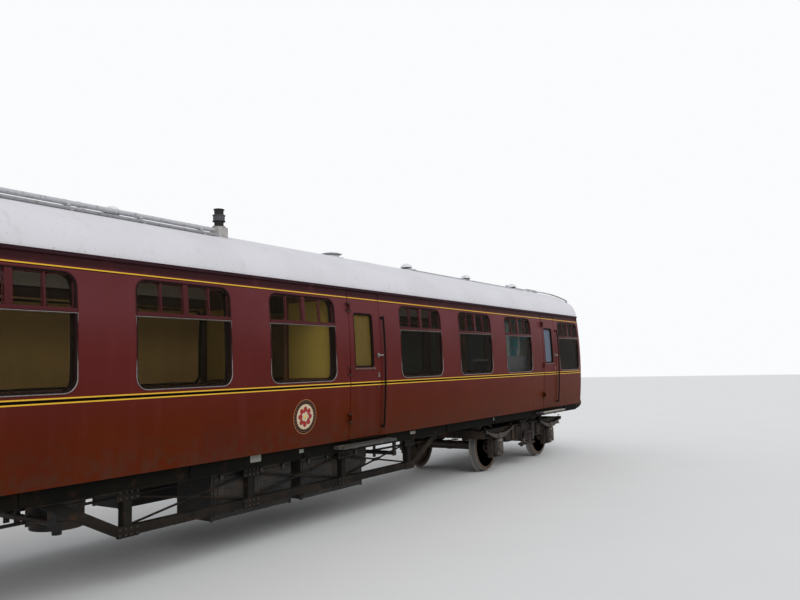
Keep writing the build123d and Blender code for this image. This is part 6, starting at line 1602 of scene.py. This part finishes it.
# Bogies: the frame's end, its arch over an axlebox, and the middle of its bolster springs
BOGIE_END, ARCH_Z, ARCH_HALF = 1.9355, FRAME_LOW + 0.15, 0.31
COIL_Y, LINK_XS = 1.088, (-0.265, 0.265)
SPRING_Y = FRAME_Y + 0.096


def helix(radius, low, high, count, wire, steps=12, sides=6):
    """Coil spring: a circle's points climbing evenly from low to high in a count of turns."""
    angle = np.linspace(0, 2 * np.pi * count, int(count * steps) + 1)
    path = np.stack([radius * np.cos(angle), radius * np.sin(angle), np.linspace(low, high, len(angle))], 1)
    return tube(path, wire, sides)


def side_parts():
    """Flanges along the side frame's top and bottom, ribs, rivet rows, horn stays and guard brackets."""
    y0, y1 = FRAME_Y + 0.035, FRAME_Y + 0.085
    inner, outer = HALF_BASE - ARCH_HALF, HALF_BASE + ARCH_HALF
    shapes = [slab((-BOGIE_END, FRAME_Y - 0.075, FRAME_TOP - 0.014), (BOGIE_END, y1, FRAME_TOP + 0.002), 0.004)]
    runs = [(0.13 - inner, inner - 0.13, FRAME_LOW), (-outer, -inner, ARCH_Z), (inner, outer, ARCH_Z),
            (-BOGIE_END, -outer, ARCH_Z), (outer, BOGIE_END, ARCH_Z)]
    shapes += [slab((x0, y0, z - 0.002), (x1, y1, z + 0.012), 0.004) for x0, x1, z in runs]
    middle = (y0 + y1) / 2
    for sign in (-1, 1):
        slant = [(sign * inner, middle, ARCH_Z + 0.004), (sign * (inner - 0.13), middle, FRAME_LOW + 0.004)]
        shapes.append(tube(slant, 0.014, 6))
        shapes.append(plate(rounded(0.24, 0.1, 0.02, 3), FRAME_Y + 0.042, FRAME_Y + 0.05, 0.002, sign * 1.8,
                            ARCH_Z + 0.07))
    for low, xs in ((FRAME_LOW, (0.42, 0.62)), (ARCH_Z, (0.9, 1.72, 1.9))):
        rib = slab((-0.008, y0, low + 0.01), (0.008, y1 - 0.008, FRAME_TOP - 0.012), 0.003)
        shapes.append(copies(rib, row([sign * x for sign in (-1, 1) for x in xs])))
    for half, z in ((1.9, FRAME_TOP - 0.045), (0.8, FRAME_LOW + 0.04)):
        places = row(np.arange(-half, half + 0.01, 0.1), FRAME_Y + 0.0445, z)
        shapes.append(copies(rivet(0.009, 0.006, axis=1), places))
    places = [(axle + dx, FRAME_Y + 0.044, z) for axle in (-HALF_BASE, HALF_BASE) for dx in (-0.166, 0.166)
              for z in (0.345, 0.42, 0.6)]
    return [(join(*shapes), "bogie_grime"), (copies(bolt(0.015, 0.014, axis=1), places), "oily_steel")]


def bolster_parts():
    """Coil springs and swing links outside each side frame, under the bolster's end."""
    coils = [moved(helix(0.05, 0.445, 0.64, 5, 0.0115), x, COIL_Y) for x in (-0.1, 0.1)]
    shapes = [slab((-0.175, 1.02, 0.636), (0.175, 1.145, 0.664), 0.006),
              slab((-0.3, 1.03, 0.405), (0.3, 1.145, 0.447), 0.006),
              copies(tube([(0, COIL_Y, 0.4), (0, COIL_Y, 0.81)], 0.014, 8), row(LINK_XS)),
              copies(slab((-0.035, 1.03, 0.785), (0.035, 1.125, 0.835), 0.008), row(LINK_XS)),
              copies(bolt(0.026, 0.03), [(x, COIL_Y, z) for x in LINK_XS for z in (0.378, 0.835)]),
              plate(rounded(0.28, 0.2, 0.02, 4), 1.028, 1.038, 0.003, 0, 0.78)]
    damper = lathe(mm((20, 460), (32, 470), (32, 620), (16, 630), (16, 800)), 14, at=(0.36, 1.07, 0))
    return [(join(*coils), "spring_steel"), (join(*shapes), "bogie_grime"), (damper, "cast_black")]


def cross_parts():
    """Transoms, brake beams with their hangers and pull rods, spring seats and end-rail bolts."""
    transom = slab((-0.05, -0.94, 0.58), (0.05, 0.94, 0.79), 0.01, axis=1)
    iron = [copies(tube([(0, -0.66, 0.4), (0, 0.66, 0.4)], 0.03, 12), row([-0.72, 0.72])),
            copies(slab((-0.012, -0.03, 0.38), (0.012, 0.03, 0.66), 0.005),
                   [(x, y, 0) for x in (-0.72, 0.72) for y in (-0.58, 0.58)]),
            copies(tube([(-0.7, 0, 0.42), (0.7, 0, 0.42)], 0.018, 8), [(0, y, 0) for y in (-0.14, 0.14)]),
            both(slab((-0.055, 0.54, 0.43), (0.055, 0.66, 0.45), 0.004))]
    places = [(BOGIE_END - 0.002, y, z) for y in np.arange(-0.8, 0.81, 0.2) for z in (0.72, 0.79)]
    heads = copies(bolt(0.016, 0.012, axis=0), places)
    return [(copies(transom, row([-0.27, 0.27])), "bogie_grime"), (join(*iron), "brake_iron"),
            (join(heads, flipped(heads, 0)), "oily_steel")]


def axlebox_parts():
    """Round covers with bolts, oil plugs, side ribs and blank plates on the axleboxes, and the springs' buckles
    and eyes, drawn about one axle and set at both."""
    face = FRAME_Y + 0.135
    cover = lathe(mm((98, -4), (98, 10), (86, 18), (30, 22)), 24, axis=1, at=(0, face, AXLE_Z))
    wing = slab((-0.012, FRAME_Y + 0.05, AXLE_Z - 0.12), (0.012, face - 0.02, AXLE_Z + 0.14), 0.006)
    strap = slab((-0.062, FRAME_Y + 0.046, 0.65), (0.062, FRAME_Y + 0.149, 0.735), 0.006)
    iron = join(cover, copies(wing, row([-0.12, 0.12])), strap)
    steel = join(
        copies(bolt(0.011, 0.009, axis=1), around(0.082, 6, (0, face + 0.012, AXLE_Z), axis=1, start=0.5)),
        lathe(mm((20, -2), (20, 10), (12, 16)), 8, axis=1, at=(0.075, face, AXLE_Z - 0.115)),
        copies(bolt(0.012, 0.012), row([-0.035, 0.035], FRAME_Y + 0.1, 0.7345)),
        copies(collar(0.024, 0.03, 0.05, 0.045, 14, axis=1), row([-0.575, 0.575], SPRING_Y, 0.815)),
        copies(bolt(0.02, 0.02), row([-0.56, 0.56], SPRING_Y, 0.862)))
    tag = plate(rounded(0.09, 0.03, 0.005, 3), face - 0.002, face + 0.005, 0.0015, 0, AXLE_Z + 0.118)
    axles = row([-HALF_BASE, HALF_BASE])
    return every([(iron, "axlebox_iron"), (steel, "oily_steel"), (tag, "label_white")], copies, axles)


class COACH_OT_bogies(bpy.types.Operator):
    """Flanges, ribs, rivets, springs, axlebox covers and brake gear of the bogies"""
    bl_idname = "coach.bogies"
    bl_label = "Bogies"

    def execute(self, context):
        for name, x in (("bogie_front", BOGIE_X), ("bogie_rear", -BOGIE_X)):
            parts = every(side_parts() + bolster_parts(), both) + cross_parts()
            make_piece(f"{name}_gear", every(parts, moved, x), name)
            boxes = every(every(axlebox_parts(), both), moved, x)
            make_piece(f"{name}_axlebox_details", boxes, name)
        return {"FINISHED"}


class COACH_OT_wheels(bpy.types.Operator):
    """Tyre joints, hub rings, pressing bolts and axle ends on the wheelsets"""
    bl_idname = "coach.wheels"
    bl_label = "Wheels"

    def execute(self, context):
        ring = lathe(mm((388, 805), (388, 808.5), (400, 809.5), (406, 808.5), (406, 805)), 64, axis=1)
        hub = lathe(mm((118, 815), (118, 825), (108, 830), (80, 830), (75, 822)), 32, axis=1)
        heads = copies(bolt(0.012, 0.01, axis=1), around(0.098, 8, (0, 0.829, 0), axis=1))
        web = lathe(mm((30, 750), (30, 758.5), (22, 761.5)), 16, axis=1)
        webs = copies(web, around(0.27, 4, (0, 0, 0), axis=1, start=0.4))
        shape = join(both(ring, hub, heads, webs), collar(0.083, 0.09, 0.05, 0.04, 24, axis=1))
        for name, x in WHEELSETS.items():
            make_piece(f"{name}_details", [(moved(shape, x, 0, AXLE_Z), f"{name}_steel")], name)
        return {"FINISHED"}


# The soft lamp: its spread, its tilt from straight down and its turn
LAMP_SPREAD, LAMP_TILT, LAMP_TURN = [math.radians(angle) for angle in (40, 52, -35)]


def make_floor():
    """Wide square just below the wheels, whose colour is pale to the eye."""
    points = np.array([(-90, -90, 0), (90, -90, 0), (90, 90, 0), (-90, 90, 0)], float)
    mesh = bpy.data.meshes.new("floor_plane")
    mesh.from_pydata(points.tolist(), [], [(0, 1, 2, 3)])
    floor = bpy.data.objects.new("floor_plane", mesh)
    bpy.context.scene.collection.objects.link(floor)
    finish = Finish("floor_pale", (0.8, 0.8, 0.79), 0.9, specular=0.1)
    finish.lay(finish.noise(0.6, 0.3, 0.8), (0.77, 0.77, 0.765), 0.5)
    mesh.materials.append(finish.done())


def make_sky(context, strength):
    """Light of an even strength from all round, seen as white by the eye, by glass and by metal."""
    world = bpy.data.worlds.new("soft_sky")
    world.use_nodes = True
    nodes, links = world.node_tree.nodes, world.node_tree.links
    lit, seen = nodes["Background"], nodes.new("ShaderNodeBackground")
    lit.inputs["Color"].default_value = (0.95, 0.97, 1.0, 1.0)
    lit.inputs["Strength"].default_value = strength
    seen.inputs["Color"].default_value = (0.96, 0.97, 0.98, 1.0)
    rays, mix = nodes.new("ShaderNodeLightPath"), nodes.new("ShaderNodeMixShader")
    either = None
    for ray in ("Is Camera Ray", "Is Glossy Ray", "Is Transmission Ray"):
        if either is None:
            either = rays.outputs[ray]
            continue
        node = nodes.new("ShaderNodeMath")
        node.operation = "MAXIMUM"
        links.new(either, node.inputs[0])
        links.new(rays.outputs[ray], node.inputs[1])
        either = node.outputs[0]
    links.new(either, mix.inputs[0])
    links.new(lit.outputs[0], mix.inputs[1])
    links.new(seen.outputs[0], mix.inputs[2])
    links.new(mix.outputs[0], nodes["World Output"].inputs["Surface"])
    context.scene.world = world


class COACH_OT_stage(bpy.types.Operator):
    """Pale floor, soft light all round, one broad lamp, and the viewer's camera"""
    bl_idname = "coach.stage"
    bl_label = "Stage"

    def execute(self, context):
        stage = context.scene.coach_stage
        make_floor()
        make_sky(context, stage.sky)
        lamp = bpy.data.objects.new("soft_lamp", bpy.data.lights.new("soft_lamp", "SUN"))
        lamp.data.energy, lamp.data.angle = stage.sun, LAMP_SPREAD
        lamp.rotation_euler = LAMP_TILT, 0, LAMP_TURN
        camera = bpy.data.objects.new("viewer", bpy.data.cameras.new("viewer"))
        camera.data.sensor_width, camera.data.lens = 36, stage.lens
        camera.data.clip_start, camera.data.clip_end = 0.05, 200
        heading, pitch, roll = stage.heading, stage.pitch, stage.roll
        ahead = np.array([math.cos(pitch) * math.cos(heading), math.cos(pitch) * math.sin(heading), math.sin(pitch)])
        right = np.array([math.sin(heading), -math.cos(heading), 0.0])
        up = np.cross(right, ahead)
        right, up = (math.cos(roll) * right + math.sin(roll) * up, math.cos(roll) * up - math.sin(roll) * right)
        camera.rotation_euler = Matrix(np.stack([right, up, -ahead], 1)).to_euler()
        camera.location = stage.place
        for thing in (lamp, camera):
            context.scene.collection.objects.link(thing)
        context.scene.camera = camera
        context.scene.view_settings.view_transform = "Standard"
        return {"FINISHED"}


class COACH_OT_finishes(bpy.types.Operator):
    """Every material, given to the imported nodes"""
    bl_idname = "coach.finishes"
    bl_label = "Finishes"

    def execute(self, context):
        make_finishes()
        return {"FINISHED"}


OPERATORS = [
    COACH_OT_finishes,
    COACH_OT_lining,
    COACH_OT_badge,
    COACH_OT_windows,
    COACH_OT_doors,
    COACH_OT_roof,
    COACH_OT_cushions,
    COACH_OT_blinds,
    COACH_OT_saloon,
    COACH_OT_kitchen,
    COACH_OT_ends,
    COACH_OT_underframe,
    COACH_OT_bogies,
    COACH_OT_wheels,
    COACH_OT_stage,
]


class COACH_PT_sidebar(bpy.types.Panel):
    """Lists the coach's sizes, colours and pieces"""
    bl_label = "Coach"
    bl_space_type, bl_region_type, bl_category = "VIEW_3D", "UI", "Coach"

    def draw(self, context):
        for settings in (context.scene.coach_finish, context.scene.coach_stage):
            for name in settings.__annotations__:
                self.layout.prop(settings, name)
        for operator in OPERATORS:
            self.layout.operator(operator.bl_idname)


CLASSES = [CoachFinish, CoachStage, *OPERATORS, COACH_PT_sidebar]


def register():
    """Tell Blender of the classes and hang the settings on the scene."""
    for cls in CLASSES:
        bpy.utils.register_class(cls)
    bpy.types.Scene.coach_finish = bpy.props.PointerProperty(type=CoachFinish)
    bpy.types.Scene.coach_stage = bpy.props.PointerProperty(type=CoachStage)


def unregister():
    """Take the settings and the classes away again."""
    del bpy.types.Scene.coach_finish
    del bpy.types.Scene.coach_stage
    for cls in reversed(CLASSES):
        bpy.utils.unregister_class(cls)


def main():
    """Make every piece in order."""
    register()
    for operator in OPERATORS:
        group, name = operator.bl_idname.split(".")
        getattr(getattr(bpy.ops, group), name)()
    bpy.context.view_layer.update()


if __name__ == "__main__":
    main()
